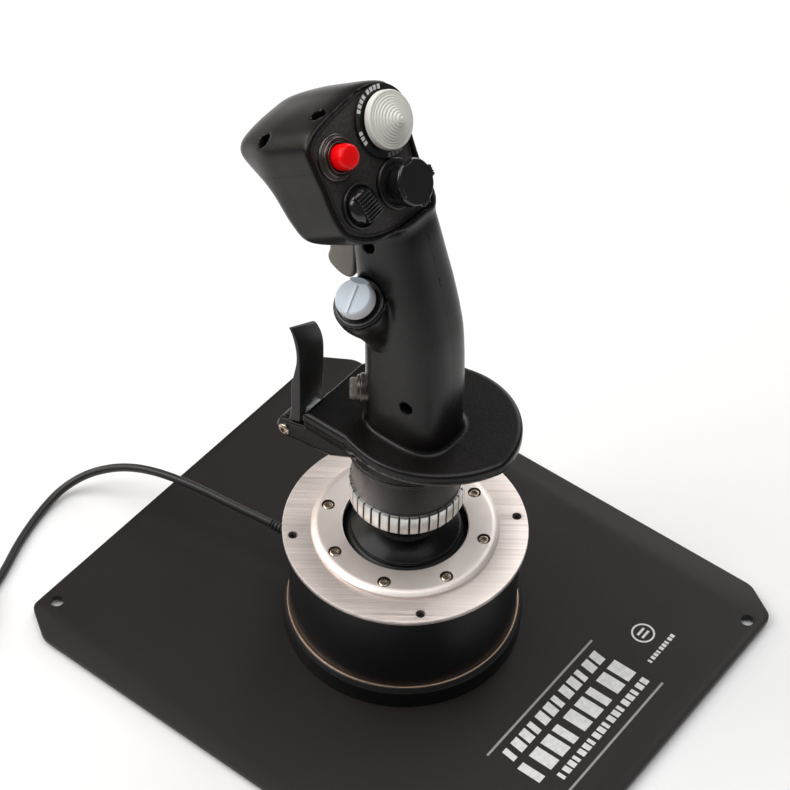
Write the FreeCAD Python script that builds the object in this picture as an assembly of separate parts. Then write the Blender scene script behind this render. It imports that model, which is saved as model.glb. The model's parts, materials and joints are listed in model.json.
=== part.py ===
import FreeCAD, Part
import math
import os

from FreeCAD import Vector as V

# Flight joystick: heavy plate, drum base with a two-axis gimbal, and a pistol grip with hats, buttons,
# trigger and paddle.  Millimetres.  +Z up, +Y away from the pilot, +X to the pilot's right.
# Origin: on the desk, under the drum's axis.

# ---------------------------------------------------------------- driving dimensions
FOOT_HEIGHT = 2.0
PLATE_SIZE = (228.0, 269.4, 3.0)
PLATE_CUT = (10.2, 16.5)
MOUNT_SPACING = (190.0, 255.2)
MOUNT_HOLE_R = 3.1
PLATE_TOP = FOOT_HEIGHT + PLATE_SIZE[2]

DRUM_R = 51.8
DRUM_INNER_R = 47.5
FOOT_RING_R = (54.6, 53.0)
FOOT_RING_TOP = PLATE_TOP + 12.2
DISC_R = 54.5
DISC_HOLE_R = 33.0
DISC_Z = (61.1, 65.1)
RING_R = (41.8, 27.7)
RING_TOP = DISC_Z[1] + 2.7
DISC_SCREW_CIRCLE = 49.9
RING_SCREW_CIRCLE = 35.5
PLATE_SCREW_CIRCLE = 40.0
BRACKET_FLOOR = 3.0

PIVOT_Z = 34.0
POST_X = (41.6, 46.2)
TRUNNION_R = 3.0
BEARING_R = 5.0
GIMBAL_RING_R = (33.0, 27.0)
HUB_BLOCK = 11.0
DOME_R = (40.0, 38.4)
DOME_ANGLE = (17.0, 61.0)
BOOT_R = 41.0
BOOT_ANGLE = 36.5
NECK_R = 15.4

NUT_Z = (87.2, 98.6)
NUT_R = 25.2
NUT_RIBS = 36
NUT_RIB_HALF_WIDTH = 1.7
CONNECTOR_R = 20.0
COLLAR_Z = (99.0, 119.0)
COLLAR_R = 24.0
HUB_R = 26.0
REST_Z = (128.0, 135.0)

# Grip column sections: height, centre along Y, half width in X, half depth in Y.
COLUMN = [
    (REST_Z[1] - 3.0, -2.6, 17.5, 22.0),
    (165.0, -1.9, 17.5, 22.0),
    (188.0, -0.7, 17.5, 21.5),
    (200.0, 1.1, 17.3, 21.0),
    (212.0, 3.9, 17.1, 20.4),
    (226.0, 7.2, 16.8, 19.2),
    (241.0, 10.6, 16.4, 17.8),
    (254.0, 14.5, 16.0, 17.0),
]
WALL = 2.6

# Control panel: its own frame has X to the right, U up the panel and N out of it towards the pilot.
PANEL_TILT = 32.34
PANEL_ORIGIN = V(0, 19.7, 282.0)
PANEL_N = V(0, -math.cos(math.radians(PANEL_TILT)), math.sin(math.radians(PANEL_TILT)))
PANEL_U = V(0, math.sin(math.radians(PANEL_TILT)), math.cos(math.radians(PANEL_TILT)))
PANEL_OUTLINE = [
    (2.4, 17.0), (-8.0, 17.2), (-20.0, 16.0), (-31.0, 13.2), (-36.2, 8.8), (-37.3, 1.0), (-37.6, -8.0),
    (-38.4, -19.0), (-36.8, -27.4), (-31.0, -33.6), (-23.0, -37.8), (-11.0, -40.6), (1.0, -41.0), (9.6, -39.6),
    (13.0, -18.0), (16.2, 1.0), (12.4, 12.0),
]
RIM_WIDTH = 2.4
# Side profile of the head as (y, z), from the panel's lower edge round the underside, nose and top.
HEAD_SIDE = [
    (-2.2, 247.4), (7.0, 243.2), (18.0, 239.8), (26.5, 241.5), (33.5, 249.5), (45.5, 258.6), (56.0, 260.4),
    (63.0, 262.6), (66.8, 267.0), (66.0, 272.5), (62.0, 278.0), (55.5, 283.8), (47.0, 291.0), (38.0, 296.0),
    (28.8, 297.0),
]
# Depth behind the panel and width there as a share of the panel's: the nose narrows.
HEAD_TAPER = [(0.0, 1.0), (28.0, 0.98), (42.0, 0.82), (64.0, 0.54)]
HEAD_SEAM_U = 0.2

TRIM_POS = (3.3, 0.0)
RED_POS = (-24.3, -0.2)
LOWER_HAT_POS = (-24.3, -21.0)
UPPER_HAT_POS = (-3.7, -23.4)
HAT_PIVOT_DEPTH = 5.0
# Outer and inner radius of a four-way switch housing.
SWITCH_R = (8.4, 7.2)

SIDE_HAT_FACE = V(-25.0, 11.4, 216.5)
SIDE_HAT_AXIS = V(-0.53, 0.0, 0.848)
SIDE_SEAT_DEPTH = 8.6
SIDE_BUTTON_POS = V(-9.4, 17.2, 148.6)
SIDE_BUTTON_AXIS = V(-0.6, 0.8, 0.0)

TRIGGER_PIVOT = (28.0, 249.5)
TRIGGER_HALF_WIDTH = 6.0
PADDLE_PIVOT = (46.5, 118.5)
PADDLE_X = (-26.0, -10.0)
PIN_R = 1.5

CABLE_R = 2.0
CABLE_EXIT_ANGLE = 96.5
CABLE_EXIT_Z = 22.0
# Cable route from the strain relief to the coil, and from the coil to the plug: x, y, z.
CABLE_ROUTE = [
    (-8.1, 71.3, 22.0), (-12.3, 93.6, 24.0), (-15.0, 114.0, 25.0), (-19.0, 135.9, 23.5), (-23.4, 151.6, 19.0),
    (-29.8, 163.5, 13.0), (-36.6, 170.4, 8.0), (-46.0, 174.5, 3.5), (-61.1, 172.9, 2.0), (-79.1, 167.9, 2.0),
    (-97.0, 160.5, 2.0), (-116.0, 155.0, 2.0), (-138.0, 152.0, 2.0),
]
TAIL_ROUTE = [
    (-164.0, 178.0, 14.0), (-162.5, 195.0, 11.5), (-153.0, 209.0, 7.5), (-138.0, 216.0, 4.6), (-122.0, 216.5, 4.2),
]
COIL_CENTRE = (-138.0, 178.0)
COIL_TURN_R = (18.0, 26.0)
COIL_LAYERS = 4

X = V(1, 0, 0)
Y = V(0, 1, 0)
Z = V(0, 0, 1)


# ---------------------------------------------------------------- helpers
def rod(radius, height, base, axis=Z):
    return Part.makeCylinder(radius, height, base, axis)


def tube(outer, inner, height, base, axis=Z):
    lead = V(axis)
    lead.normalize()
    bore = rod(inner, height + 2.0, base - lead, axis)
    return rod(outer, height, base, axis).cut(bore)


def block(x, y, z):
    return Part.makeBox(x[1] - x[0], y[1] - y[0], z[1] - z[0], V(x[0], y[0], z[0]))


def turned(profile, base=V(0, 0, 0), axis=Z):
    """Solid of revolution; the profile is (radius, height) pairs about the axis."""
    points = [V(r, 0, h) for r, h in profile]
    face = Part.Face(Part.makePolygon(points + [points[0]]))
    solid = face.revolve(V(0, 0, 0), Z, 360)
    return placed(solid, base, axis)


def placed(solid, base, axis, spin=0.0):
    """Move a solid built about +Z at the origin so that +Z lies along the axis at base."""
    copy = solid.copy()
    turn = FreeCAD.Rotation(Z, axis).multiply(FreeCAD.Rotation(Z, spin))
    copy.Placement = FreeCAD.Placement(base, turn)
    return copy


def prism(points, direction):
    return Part.Face(Part.makePolygon(points + [points[0]])).extrude(direction)


def yz_prism(points, x):
    return prism([V(x[0], y, z) for y, z in points], V(x[1] - x[0], 0, 0))


def around(radius, count, start, z=0.0):
    """Points evenly round the drum's axis."""
    step = 360.0 / count
    angles = [math.radians(start + step * i) for i in range(count)]
    return [V(radius * math.cos(a), radius * math.sin(a), z) for a in angles]


def fuse(solids):
    result = solids[0]
    if len(solids) > 1:
        result = result.multiFuse(solids[1:])
    return result.removeSplitter()


def save(node, shape):
    shape.exportStep("parts/" + node + ".step")
    solids = shape.Solids
    print(node, len(solids), "solids", round(shape.Volume, 1), "valid" if shape.isValid() else "NOT VALID")


def group(solids):
    return Part.makeCompound(solids)


def panel_point(pos, out=0.0):
    return PANEL_ORIGIN + X * pos[0] + PANEL_U * pos[1] + PANEL_N * out


def on_panel(profile, pos, out=0.0):
    return turned(profile, panel_point(pos, out), PANEL_N)


def hex_socket(across, depth, base, axis=Z):
    radius = across / math.sqrt(3.0)
    angles = [math.radians(a) for a in range(0, 360, 60)]
    points = [V(radius * math.cos(a), radius * math.sin(a), 0) for a in angles]
    return placed(prism(points, V(0, 0, -depth)), base, axis)


def socket_screw(head_r, head_h, shank_r, shank_l, seat, axis=Z):
    """Button-head screw: its head sits on the seat point, its shank goes against the axis."""
    edge = head_h * 0.3
    head = [(0, 0), (head_r, 0), (head_r, head_h - edge), (head_r - edge, head_h), (0, head_h)]
    lead = V(axis)
    lead.normalize()
    screw = fuse([turned(head, seat, axis), rod(shank_r, shank_l, seat - lead * shank_l, axis)])
    return screw.cut(hex_socket(head_r * 0.9, head_h * 0.7, seat + lead * head_h, axis))


# ---------------------------------------------------------------- plate and drum
def corner_cut_rectangle(size, cut):
    x, y = size[0] / 2.0, size[1] / 2.0
    cx, cy = cut
    return [
        (x, y - cy), (x - cx, y), (cx - x, y), (-x, y - cy),
        (-x, cy - y), (cx - x, -y), (x - cx, -y), (x, cy - y),
    ]


def base_plate():
    points = [V(px, py, FOOT_HEIGHT) for px, py in corner_cut_rectangle(PLATE_SIZE, PLATE_CUT)]
    plate = prism(points, V(0, 0, PLATE_SIZE[2]))
    upright = [e for e in plate.Edges if abs(e.Vertexes[0].Z - e.Vertexes[-1].Z) > 1.0]
    plate = plate.makeFillet(3.0, upright)
    for sx in (-1, 1):
        for sy in (-1, 1):
            at = V(sx * MOUNT_SPACING[0] / 2.0, sy * MOUNT_SPACING[1] / 2.0, 0)
            plate = plate.cut(rod(MOUNT_HOLE_R, 10.0, at))
    for at in around(PLATE_SCREW_CIRCLE, 4, 0.0, FOOT_HEIGHT):
        plate = plate.cut(rod(2.2, 10.0, at - Z)).cut(rod(4.2, 1.6, at - Z))
    return plate


def plate_screws():
    """Cap screws from below, through the plate and into the gimbal bracket's floor."""
    seats = around(PLATE_SCREW_CIRCLE, 4, 0.0, FOOT_HEIGHT + 0.6)
    return group([socket_screw(3.9, 0.55, 2.0, 4.6, at, V(0, 0, -1)) for at in seats])


def rubber_feet():
    feet = []
    for sx in (-1, 1):
        for sy in (-1, 1):
            feet.append(turned([(0, 0), (11.0, 0), (12.0, 1.0), (12.0, FOOT_HEIGHT), (0, FOOT_HEIGHT)],
                               V(sx * 84.0, sy * 104.0, 0)))
    return group(feet)


def drum_foot_ring():
    low, high = FOOT_RING_R
    return turned([
        (DRUM_R + 0.05, PLATE_TOP), (low, PLATE_TOP), (low, FOOT_RING_TOP - 2.5),
        (high, FOOT_RING_TOP), (DRUM_R + 0.05, FOOT_RING_TOP),
    ])


def cable_hole(radius):
    at = around(1.0, 1, CABLE_EXIT_ANGLE)[0]
    return rod(radius, 20.0, at * (DRUM_R - 12.0) + V(0, 0, CABLE_EXIT_Z), at)


def drum_housing():
    shell = tube(DRUM_R, DRUM_INNER_R, DISC_Z[0] - PLATE_TOP, V(0, 0, PLATE_TOP))
    for at in around(DISC_SCREW_CIRCLE, 4, 45.0, DISC_Z[0] - 8.0):
        shell = shell.cut(rod(1.15, 12.0, at))
    return shell.cut(cable_hole(3.2))


def top_disc():
    disc = turned([
        (DISC_HOLE_R, DISC_Z[0]), (DISC_R - 0.4, DISC_Z[0]), (DISC_R, DISC_Z[0] + 0.4),
        (DISC_R, DISC_Z[1] - 0.6), (DISC_R - 0.6, DISC_Z[1]), (DISC_HOLE_R, DISC_Z[1]),
    ])
    for at in around(DISC_SCREW_CIRCLE, 4, 45.0, DISC_Z[0]):
        disc = disc.cut(rod(1.25, 10.0, at - Z)).cut(rod(2.1, 10.0, at + V(0, 0, 1.6)))
    for at in around(RING_SCREW_CIRCLE, 8, 22.5, DISC_Z[0] - 1.0):
        disc = disc.cut(rod(1.3, 10.0, at))
    return disc


def disc_screws():
    seats = around(DISC_SCREW_CIRCLE, 4, 45.0, DISC_Z[0] + 1.7)
    return group([socket_screw(1.9, 1.4, 1.1, 8.0, at) for at in seats])


def inner_ring():
    outer, inner = RING_R
    base = DISC_Z[1]
    ring = turned([
        (inner + 0.5, base), (outer, base), (outer, base + 0.9), (outer - 0.5, base + 1.8),
        (outer - 1.4, base + 2.45), (outer - 2.4, RING_TOP), (inner + 0.6, RING_TOP),
        (inner, RING_TOP - 0.6), (inner, base + 0.5),
    ])
    for at in around(RING_SCREW_CIRCLE, 8, 22.5, base):
        ring = ring.cut(rod(1.3, 10.0, at - Z)).cut(rod(2.95, 10.0, at + V(0, 0, 1.1)))
    return ring


def ring_screws():
    seats = around(RING_SCREW_CIRCLE, 8, 22.5, DISC_Z[1] + 1.15)
    return group([socket_screw(2.6, 1.35, 1.2, 4.0, at) for at in seats])


# ---------------------------------------------------------------- gimbal inside the drum
def gimbal_bracket():
    floor = rod(46.5, BRACKET_FLOOR, V(0, 0, PLATE_TOP))
    solids = [floor]
    for side in (-1, 1):
        x = sorted((side * POST_X[0], side * POST_X[1]))
        solids.append(block(x, (-5.5, 5.5), (PLATE_TOP, PIVOT_Z)))
        solids.append(rod(5.5 + 1.0, POST_X[1] - POST_X[0], V(x[0], 0, PIVOT_Z), X))
    bracket = fuse(solids)
    bracket = bracket.cut(rod(BEARING_R, 120.0, V(-60, 0, PIVOT_Z), X))
    for at in around(PLATE_SCREW_CIRCLE, 4, 0.0, PLATE_TOP - 1.0):
        bracket = bracket.cut(rod(2.05, 3.6, at))
    return bracket.cut(tube(80.0, 47.2, 60.0, V(0, 0, PLATE_TOP)))


def bearings_along_x():
    width = POST_X[1] - POST_X[0] - 1.2
    return group([tube(BEARING_R - 0.02, TRUNNION_R + 0.04, width, V(x, 0, PIVOT_Z), X)
                  for x in (POST_X[0], -POST_X[0] - width)])


def gimbal_ring():
    outer, inner = GIMBAL_RING_R
    ring = tube(outer, inner, 13.0, V(0, 0, PIVOT_Z - 6.5))
    pins = [rod(TRUNNION_R, POST_X[1] - 1.4 - outer + 3.0, V(outer - 3.0, 0, PIVOT_Z), X),
            rod(TRUNNION_R, POST_X[1] - 1.4 - outer + 3.0, V(3.0 - outer, 0, PIVOT_Z), V(-1, 0, 0))]
    ring = fuse([ring] + pins)
    return ring.cut(rod(BEARING_R, 80.0, V(0, -40, PIVOT_Z), Y))


def bearings_along_y():
    outer, inner = GIMBAL_RING_R
    return group([tube(BEARING_R - 0.02, TRUNNION_R + 0.04, 4.6, V(0, y, PIVOT_Z), Y)
                  for y in (inner + 0.4, -inner - 5.0)])


def wound_spring(inner_r, wire, turns, base, axis):
    """Close-wound torsion spring: the outer shape of its touching turns."""
    profile = [(inner_r, 0)]
    for i in range(turns):
        start = wire * i
        profile += [(inner_r + wire * 0.75, start), (inner_r + wire, start + wire * 0.25),
                    (inner_r + wire, start + wire * 0.75)]
    profile += [(inner_r + wire * 0.75, wire * turns), (inner_r, wire * turns)]
    return turned(profile, base, axis)


def pitch_springs():
    return group([wound_spring(3.6, 1.1, 5, V(34.6, 0, PIVOT_Z), X),
                  wound_spring(3.6, 1.1, 5, V(-34.6, 0, PIVOT_Z), X * -1.0)])


def roll_springs():
    return group([wound_spring(3.6, 1.1, 11, V(0, HUB_BLOCK + 1.4, PIVOT_Z), Y),
                  wound_spring(3.6, 1.1, 11, V(0, -HUB_BLOCK - 1.4, PIVOT_Z), Y * -1.0)])


def stick_hub():
    """Block with trunnions along Y, and the hollow shaft that carries the grip."""
    core = block((-HUB_BLOCK, HUB_BLOCK), (-HUB_BLOCK, HUB_BLOCK), (PIVOT_Z - 10.0, PIVOT_Z + 10.0))
    upright = [e for e in core.Edges if abs(e.Vertexes[0].Z - e.Vertexes[-1].Z) > 1.0]
    core = core.makeFillet(3.0, upright)
    reach = GIMBAL_RING_R[0] - 1.2 - HUB_BLOCK + 2.0
    pins = [rod(TRUNNION_R, reach, V(0, HUB_BLOCK - 2.0, PIVOT_Z), Y),
            rod(TRUNNION_R, reach, V(0, 2.0 - HUB_BLOCK, PIVOT_Z), V(0, -1, 0))]
    shaft = rod(8.0, 78.0 - PIVOT_Z, V(0, 0, PIVOT_Z))
    hub = fuse([core, shaft] + pins)
    return hub.cut(rod(4.0, 90.0, V(0, 0, PIVOT_Z - 4.0)))


def sensor_magnet():
    return rod(4.0, 5.0, V(0, 0, PIVOT_Z - 15.05))


def magnet_cup():
    return tube(6.0, 4.05, 6.0, V(0, 0, PIVOT_Z - 16.0))


def sensor_board():
    board = block((-16, 16), (-14, 14), (PLATE_TOP + BRACKET_FLOOR + 1.0, PLATE_TOP + BRACKET_FLOOR + 2.6))
    top = PLATE_TOP + BRACKET_FLOOR + 2.6
    chips = [block((-2.5, 2.5), (-2.5, 2.5), (top, top + 1.0)), block((7, 14), (-5, 5), (top, top + 1.4)),
             block((-14, -8), (-10, 10), (top, top + 1.9))]
    legs = [rod(1.8, 1.0, V(x, y, PLATE_TOP + BRACKET_FLOOR)) for x in (-13, 13) for y in (-12, 12)]
    return fuse([board] + chips + legs)


def sphere_shell(outer, inner, start, end):
    """Spherical cap band about the pivot between two angles from straight up."""
    ball = Part.makeSphere(outer, V(0, 0, PIVOT_Z)).cut(Part.makeSphere(inner, V(0, 0, PIVOT_Z)))
    low = outer * math.cos(math.radians(end))
    ball = ball.common(rod(60.0, 60.0, V(0, 0, PIVOT_Z + low)))
    hole = outer * math.sin(math.radians(start))
    return ball.cut(rod(hole, 60.0, V(0, 0, PIVOT_Z)))


def dust_dome():
    shell = sphere_shell(DOME_R[0], DOME_R[1], DOME_ANGLE[0], DOME_ANGLE[1])
    height = math.sqrt(DOME_R[0] ** 2 - 12.0 ** 2) + PIVOT_Z
    collar = tube(12.4, 8.05, 3.0, V(0, 0, height - 3.2))
    return fuse([shell, collar])


def boot():
    """Dark skirt on the dome, with a rolled lip and a neck that rises to the lock nut."""
    rim = BOOT_R * math.sin(math.radians(BOOT_ANGLE))
    rim_z = PIVOT_Z + BOOT_R * math.cos(math.radians(BOOT_ANGLE))
    cap = sphere_shell(BOOT_R, DOME_R[0] + 0.1, 15.0, BOOT_ANGLE)
    lip = Part.makeTorus(rim - 0.1, 0.55, V(0, 0, rim_z - 0.35))
    neck_foot = PIVOT_Z + math.sqrt(BOOT_R ** 2 - NECK_R ** 2)
    neck = turned([
        (12.7, neck_foot - 0.6), (NECK_R, neck_foot - 0.6), (NECK_R - 0.6, neck_foot + 3.0),
        (NECK_R + 0.4, neck_foot + 8.0), (NECK_R + 3.4, neck_foot + 12.5),
        (19.4, NUT_Z[0] - 0.4), (12.7, NUT_Z[0] - 0.4),
    ])
    band = cap.fuse(neck).fuse(lip)
    return band.cut(Part.makeSphere(DOME_R[0] + 0.05, V(0, 0, PIVOT_Z))).removeSplitter()


# ---------------------------------------------------------------- neck, lock nut and hand rest
def base_connector():
    return turned([
        (8.1, 78.2), (12.5, 78.2), (12.5, NUT_Z[0] - 0.3), (CONNECTOR_R, NUT_Z[0] - 0.3),
        (CONNECTOR_R, 108.0), (8.1, 108.0),
    ])


def pin_connector():
    shell = rod(8.0, 10.0, V(0, 0, 96.0))
    pins = [rod(0.7, 5.0, V(5.0 * math.cos(a), 5.0 * math.sin(a), 105.0))
            for a in [math.radians(45.0 * i) for i in range(5)]]
    return fuse([shell] + pins)


def lock_nut():
    bore = CONNECTOR_R + 0.08
    low, high = NUT_Z
    nut = turned([(bore, low), (NUT_R - 1.2, low), (NUT_R - 0.6, low + 0.6), (NUT_R - 0.6, high - 0.4),
                  (NUT_R - 1.0, high), (bore, high)])
    ribs = []
    for i in range(NUT_RIBS):
        angle = 360.0 * i / NUT_RIBS
        rib = block((NUT_R - 1.4, NUT_R), (-NUT_RIB_HALF_WIDTH, NUT_RIB_HALF_WIDTH), (low + 0.8, high - 0.5))
        rib.rotate(V(0, 0, 0), Z, angle)
        ribs.append(rib)
    nut = nut.multiFuse(ribs)
    screw_way = around(1.0, 1, -64.0)[0]
    return nut.cut(rod(1.1, 12.0, screw_way * 19.0 + V(0, 0, (low + high) / 2.0), screw_way))


def grip_collar():
    low, high = COLLAR_Z
    return turned([
        (CONNECTOR_R + 0.05, low), (COLLAR_R - 0.5, low), (COLLAR_R, low + 0.5), (COLLAR_R, high - 0.6),
        (HUB_R - 0.4, high - 0.6), (HUB_R, high - 0.2), (HUB_R, high + 0.6), (HUB_R - 0.6, high + 1.2),
        (13.0, high + 1.2), (13.0, 108.4), (CONNECTOR_R + 0.05, 108.4),
    ])


def rest_outline():
    """Plan of the hand rest: broad to the right and rear, square at the front left."""
    z = REST_Z[0]
    right_rear = Part.Arc(V(39.2, -2.0, z), V(32.0, -34.6, z), V(3.0, -47.0, z)).toShape()
    left_rear = Part.Arc(V(3.0, -47.0, z), V(-16.4, -34.2, z), V(-25.4, -21.0, z)).toShape()
    left_bulge = Part.Arc(V(-25.4, -21.0, z), V(-29.4, -2.5, z), V(-26.0, 14.0, z)).toShape()
    left = Part.LineSegment(V(-26.0, 14.0, z), V(-26.0, 35.8, z)).toShape()
    front = Part.LineSegment(V(-26.0, 35.8, z), V(12.0, 35.8, z)).toShape()
    right_front = Part.Arc(V(12.0, 35.8, z), V(30.0, 21.6, z), V(39.2, -2.0, z)).toShape()
    return Part.Wire([right_rear, left_rear, left_bulge, left, front, right_front])


def hand_rest():
    plate = Part.Face(rest_outline()).extrude(V(0, 0, REST_Z[1] - REST_Z[0]))
    hub = turned([(13.0, COLLAR_Z[1] + 1.25), (HUB_R - 0.6, COLLAR_Z[1] + 1.25), (HUB_R, COLLAR_Z[1] + 1.9),
                  (HUB_R, REST_Z[0] + 0.5), (13.0, REST_Z[0] + 0.5)])
    arm = yz_prism([(14.0, 121.0), (22.0, 117.2), (41.0, 114.6), (46.5, 113.0), (52.0, 118.5), (46.5, 124.0),
                    (42.0, 124.6), (36.0, 126.4), (35.8, 133.0), (14.0, 133.0)], (-26.0, -9.8))
    knuckle = rod(5.5, 16.2, V(-26.0, PADDLE_PIVOT[0], PADDLE_PIVOT[1]), X)
    rest = fuse([plate, hub, arm, knuckle])
    slot = block((-22.5, -13.3), (36.2, 60.0), (100.0, 140.0))
    rest = rest.cut(slot)
    rest = rest.cut(rod(1.55, 30.0, V(-30.0, PADDLE_PIVOT[0], PADDLE_PIVOT[1]), X))
    plunger_pocket = block((-22.4, -12.0), (24.0, 50.0), (126.4, 134.0))
    rest = rest.cut(plunger_pocket)
    rest = rest.cut(rod(HUB_R + 0.15, 30.0, V(0, 0, COLLAR_Z[1] - 28.78)))
    return rest.cut(rod(12.0, 40.0, V(0, 0, 110.0)))


# ---------------------------------------------------------------- grip column and head
def oval(z, centre_y, half_x, half_y):
    if half_y >= half_x:
        curve = Part.Ellipse(V(0, centre_y + half_y, z), V(half_x, centre_y, z), V(0, centre_y, z))
    else:
        curve = Part.Ellipse(V(half_x, centre_y, z), V(0, centre_y + half_y, z), V(0, centre_y, z))
    return Part.Wire([curve.toShape()])


def column(inset=0.0):
    rings = [oval(z, cy, hx - inset, hy - inset) for z, cy, hx, hy in COLUMN]
    return Part.makeLoft(rings, True, False)


def column_foot():
    """Flared fillet between the column and the hand rest."""
    z = REST_Z[1]
    rings = [oval(z - 1.0, -2.6, 21.5, 26.0), oval(z + 1.2, -2.6, 19.6, 24.1), oval(z + 3.0, -2.6, 18.4, 22.9),
             oval(z + 6.0, -2.6, 17.6, 22.1)]
    return Part.makeLoft(rings, True, False)


def panel_wire(depth, scale, inset=0.0):
    """Closed smooth outline of the head, parallel to the panel and behind it by depth."""
    mid = V(-9.5, -10.0, 0)
    points = []
    for px, pu in PANEL_OUTLINE:
        dx, du = px - mid.x, pu - mid.y
        size = math.hypot(dx, du)
        shrink = (size - inset) / size
        points.append(panel_point((mid.x + dx * shrink * scale, mid.y + du * shrink), -depth))
    curve = Part.BSplineCurve()
    curve.interpolate(Points=points, PeriodicFlag=True)
    return Part.Wire([curve.toShape()])


def side_slab(inset=0.0, reach=60.0):
    mid_y, mid_z = 33.0, 266.0
    points = []
    for y, z in HEAD_SIDE:
        dy, dz = y - mid_y, z - mid_z
        size = math.hypot(dy, dz)
        shrink = (size - inset) / size
        points.append((mid_y + dy * shrink, mid_z + dz * shrink))
    return yz_prism(points, (-reach, reach))


def head(inset=0.0, front=0.0):
    wires = [panel_wire(max(depth, front), width, inset) for depth, width in HEAD_TAPER]
    body = Part.makeLoft(wires, True, True)
    return body.common(side_slab(inset))


def half_space(side):
    reach = 200.0
    if side < 0:
        return block((-reach, 0.0), (-reach, reach), (60.0, 400.0))
    return block((0.0, reach), (-reach, reach), (60.0, 400.0))


def above_seam():
    """Everything above the seam that runs along the head's flank, square to the panel."""
    corners = [panel_point((-80.0, HEAD_SEAM_U), 30.0), panel_point((80.0, HEAD_SEAM_U), 30.0),
               panel_point((80.0, HEAD_SEAM_U), -120.0), panel_point((-80.0, HEAD_SEAM_U), -120.0)]
    return prism(corners, PANEL_U * 120.0)


def grip_cavity():
    """Hollow that holds the wiring, the circuit board and the switches."""
    sections = [oval(z, cy, hx - WALL, hy - WALL) for z, cy, hx, hy in COLUMN]
    well = Part.makeLoft(sections, True, False)
    return well.fuse(head(WALL, 2.6))


def outer_shape():
    """Column, head, foot flare, side hat boss and hand rest as one form, before it is hollowed and split."""
    return fuse([column(), head(), column_foot(), hand_rest(), side_boss()])


def side_boss():
    """Funnel under the side hat that merges with the column."""
    axis = V(SIDE_HAT_AXIS)
    axis.normalize()
    seat = SIDE_HAT_FACE - axis * SIDE_SEAT_DEPTH
    funnel = turned([(0, -3.4), (10.2, -3.4), (11.0, -1.2), (10.6, 0), (0, 0)], seat, axis)
    low = [oval_at(V(-8.0, 9.0, 176.0), Z, 7.0, 10.0), oval_at(V(-11.5, 10.0, 190.0), Z, 8.6, 11.2),
           oval_at(seat - axis * 3.4, axis, 10.2, 10.2)]
    tail = Part.makeLoft(low, True, False)
    return fuse([funnel, tail])


def oval_at(centre, axis, half_x, half_y):
    """Oval wire in a plane square to the axis; half_y lies along Y."""
    across = Y.cross(axis)
    across.normalize()
    if half_y >= half_x:
        return Part.Wire([Part.Ellipse(centre + Y * half_y, centre + across * half_x, centre).toShape()])
    return Part.Wire([Part.Ellipse(centre + across * half_x, centre + Y * half_y, centre).toShape()])


def unit(axis):
    copy = V(axis)
    copy.normalize()
    return copy


def recessed(outline_inset, front, back):
    """Slab parallel to the panel, between two depths behind its front plane."""
    wire = panel_wire(front, 1.0, outline_inset)
    return Part.Face(wire).extrude(PANEL_N * (front - back))


def shell_openings():
    """Everything cut through the grip's walls: panel recess, trigger slot, collar and screw holes."""
    side = unit(SIDE_BUTTON_AXIS)
    hat = unit(SIDE_HAT_AXIS)
    seat = SIDE_HAT_FACE - hat * SIDE_SEAT_DEPTH
    cuts = [
        recessed(RIM_WIDTH, -5.0, 3.2),
        block((-TRIGGER_HALF_WIDTH - 0.5, TRIGGER_HALF_WIDTH + 0.5), (18.0, 43.0), (198.0, 255.0)),
        rod(6.65, 30.0, SIDE_BUTTON_POS - side * 10.0, side),
        rod(8.8, 12.0, seat - hat * 10.0, hat),
        rod(10.75, 20.0, seat, hat),
        rod(8.85, 6.0, panel_point(LOWER_HAT_POS, -0.9), PANEL_N),
    ]
    for base, axis, _ in switch_sets():
        cuts.append(rod(SWITCH_R[0] + 0.1, 7.6, base - unit(axis) * 5.1, axis))
    for base, axis in grip_screw_seats():
        cuts.append(rod(2.6, 12.0, base, axis))
        cuts.append(rod(1.3, 40.0, base - axis * 20.0, axis))
    return cuts


def grip_screw_seats():
    """Seats of the grip's screws: each sits in a counterbore and clamps the halves or the head cover."""
    left = V(-1, 0, 0)
    top = unit(V(-0.35, 0.25, 0.90))
    nose = unit(V(-0.75, 0.25, 0.61))
    return [
        (V(-14.8, -9.2, 158.5), left),
        (V(-13.6, 12.6, 234.0), left),
        (V(-19.5, 32.5, 292.2), top),
        (V(-30.0, 49.6, 277.6), nose),
    ]


def grip_screws():
    seats = grip_screw_seats()
    return group([socket_screw(2.3, 1.4, 1.2, 7.0, base + axis * 0.02, axis) for base, axis in seats])


def cheek(side):
    x = sorted((side * (TRIGGER_HALF_WIDTH + 0.6), side * (TRIGGER_HALF_WIDTH + 4.0)))
    return block(x, (24.0, 32.5), (244.6, 254.0))


def shell_with_walls():
    shell = outer_shape().cut(grip_cavity())
    shell = fuse([shell, cheek(-1), cheek(1)])
    shell = shell.cut(rod(PIN_R + 0.02, 40.0, V(-20.0, TRIGGER_PIVOT[0], TRIGGER_PIVOT[1]), X))
    for cutter in shell_openings():
        shell = shell.cut(cutter)
    return shell


def largest(shape):
    return max(shape.Solids, key=lambda s: s.Volume)


def face_plate():
    plate = recessed(RIM_WIDTH + 0.15, 0.9, 3.0)
    for pos in (TRIM_POS, LOWER_HAT_POS, UPPER_HAT_POS):
        plate = plate.cut(rod(4.9, 10.0, panel_point(pos, -6.0), PANEL_N))
    plate = plate.cut(rod(5.5, 10.0, panel_point(RED_POS, -6.0), PANEL_N))
    return plate


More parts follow.
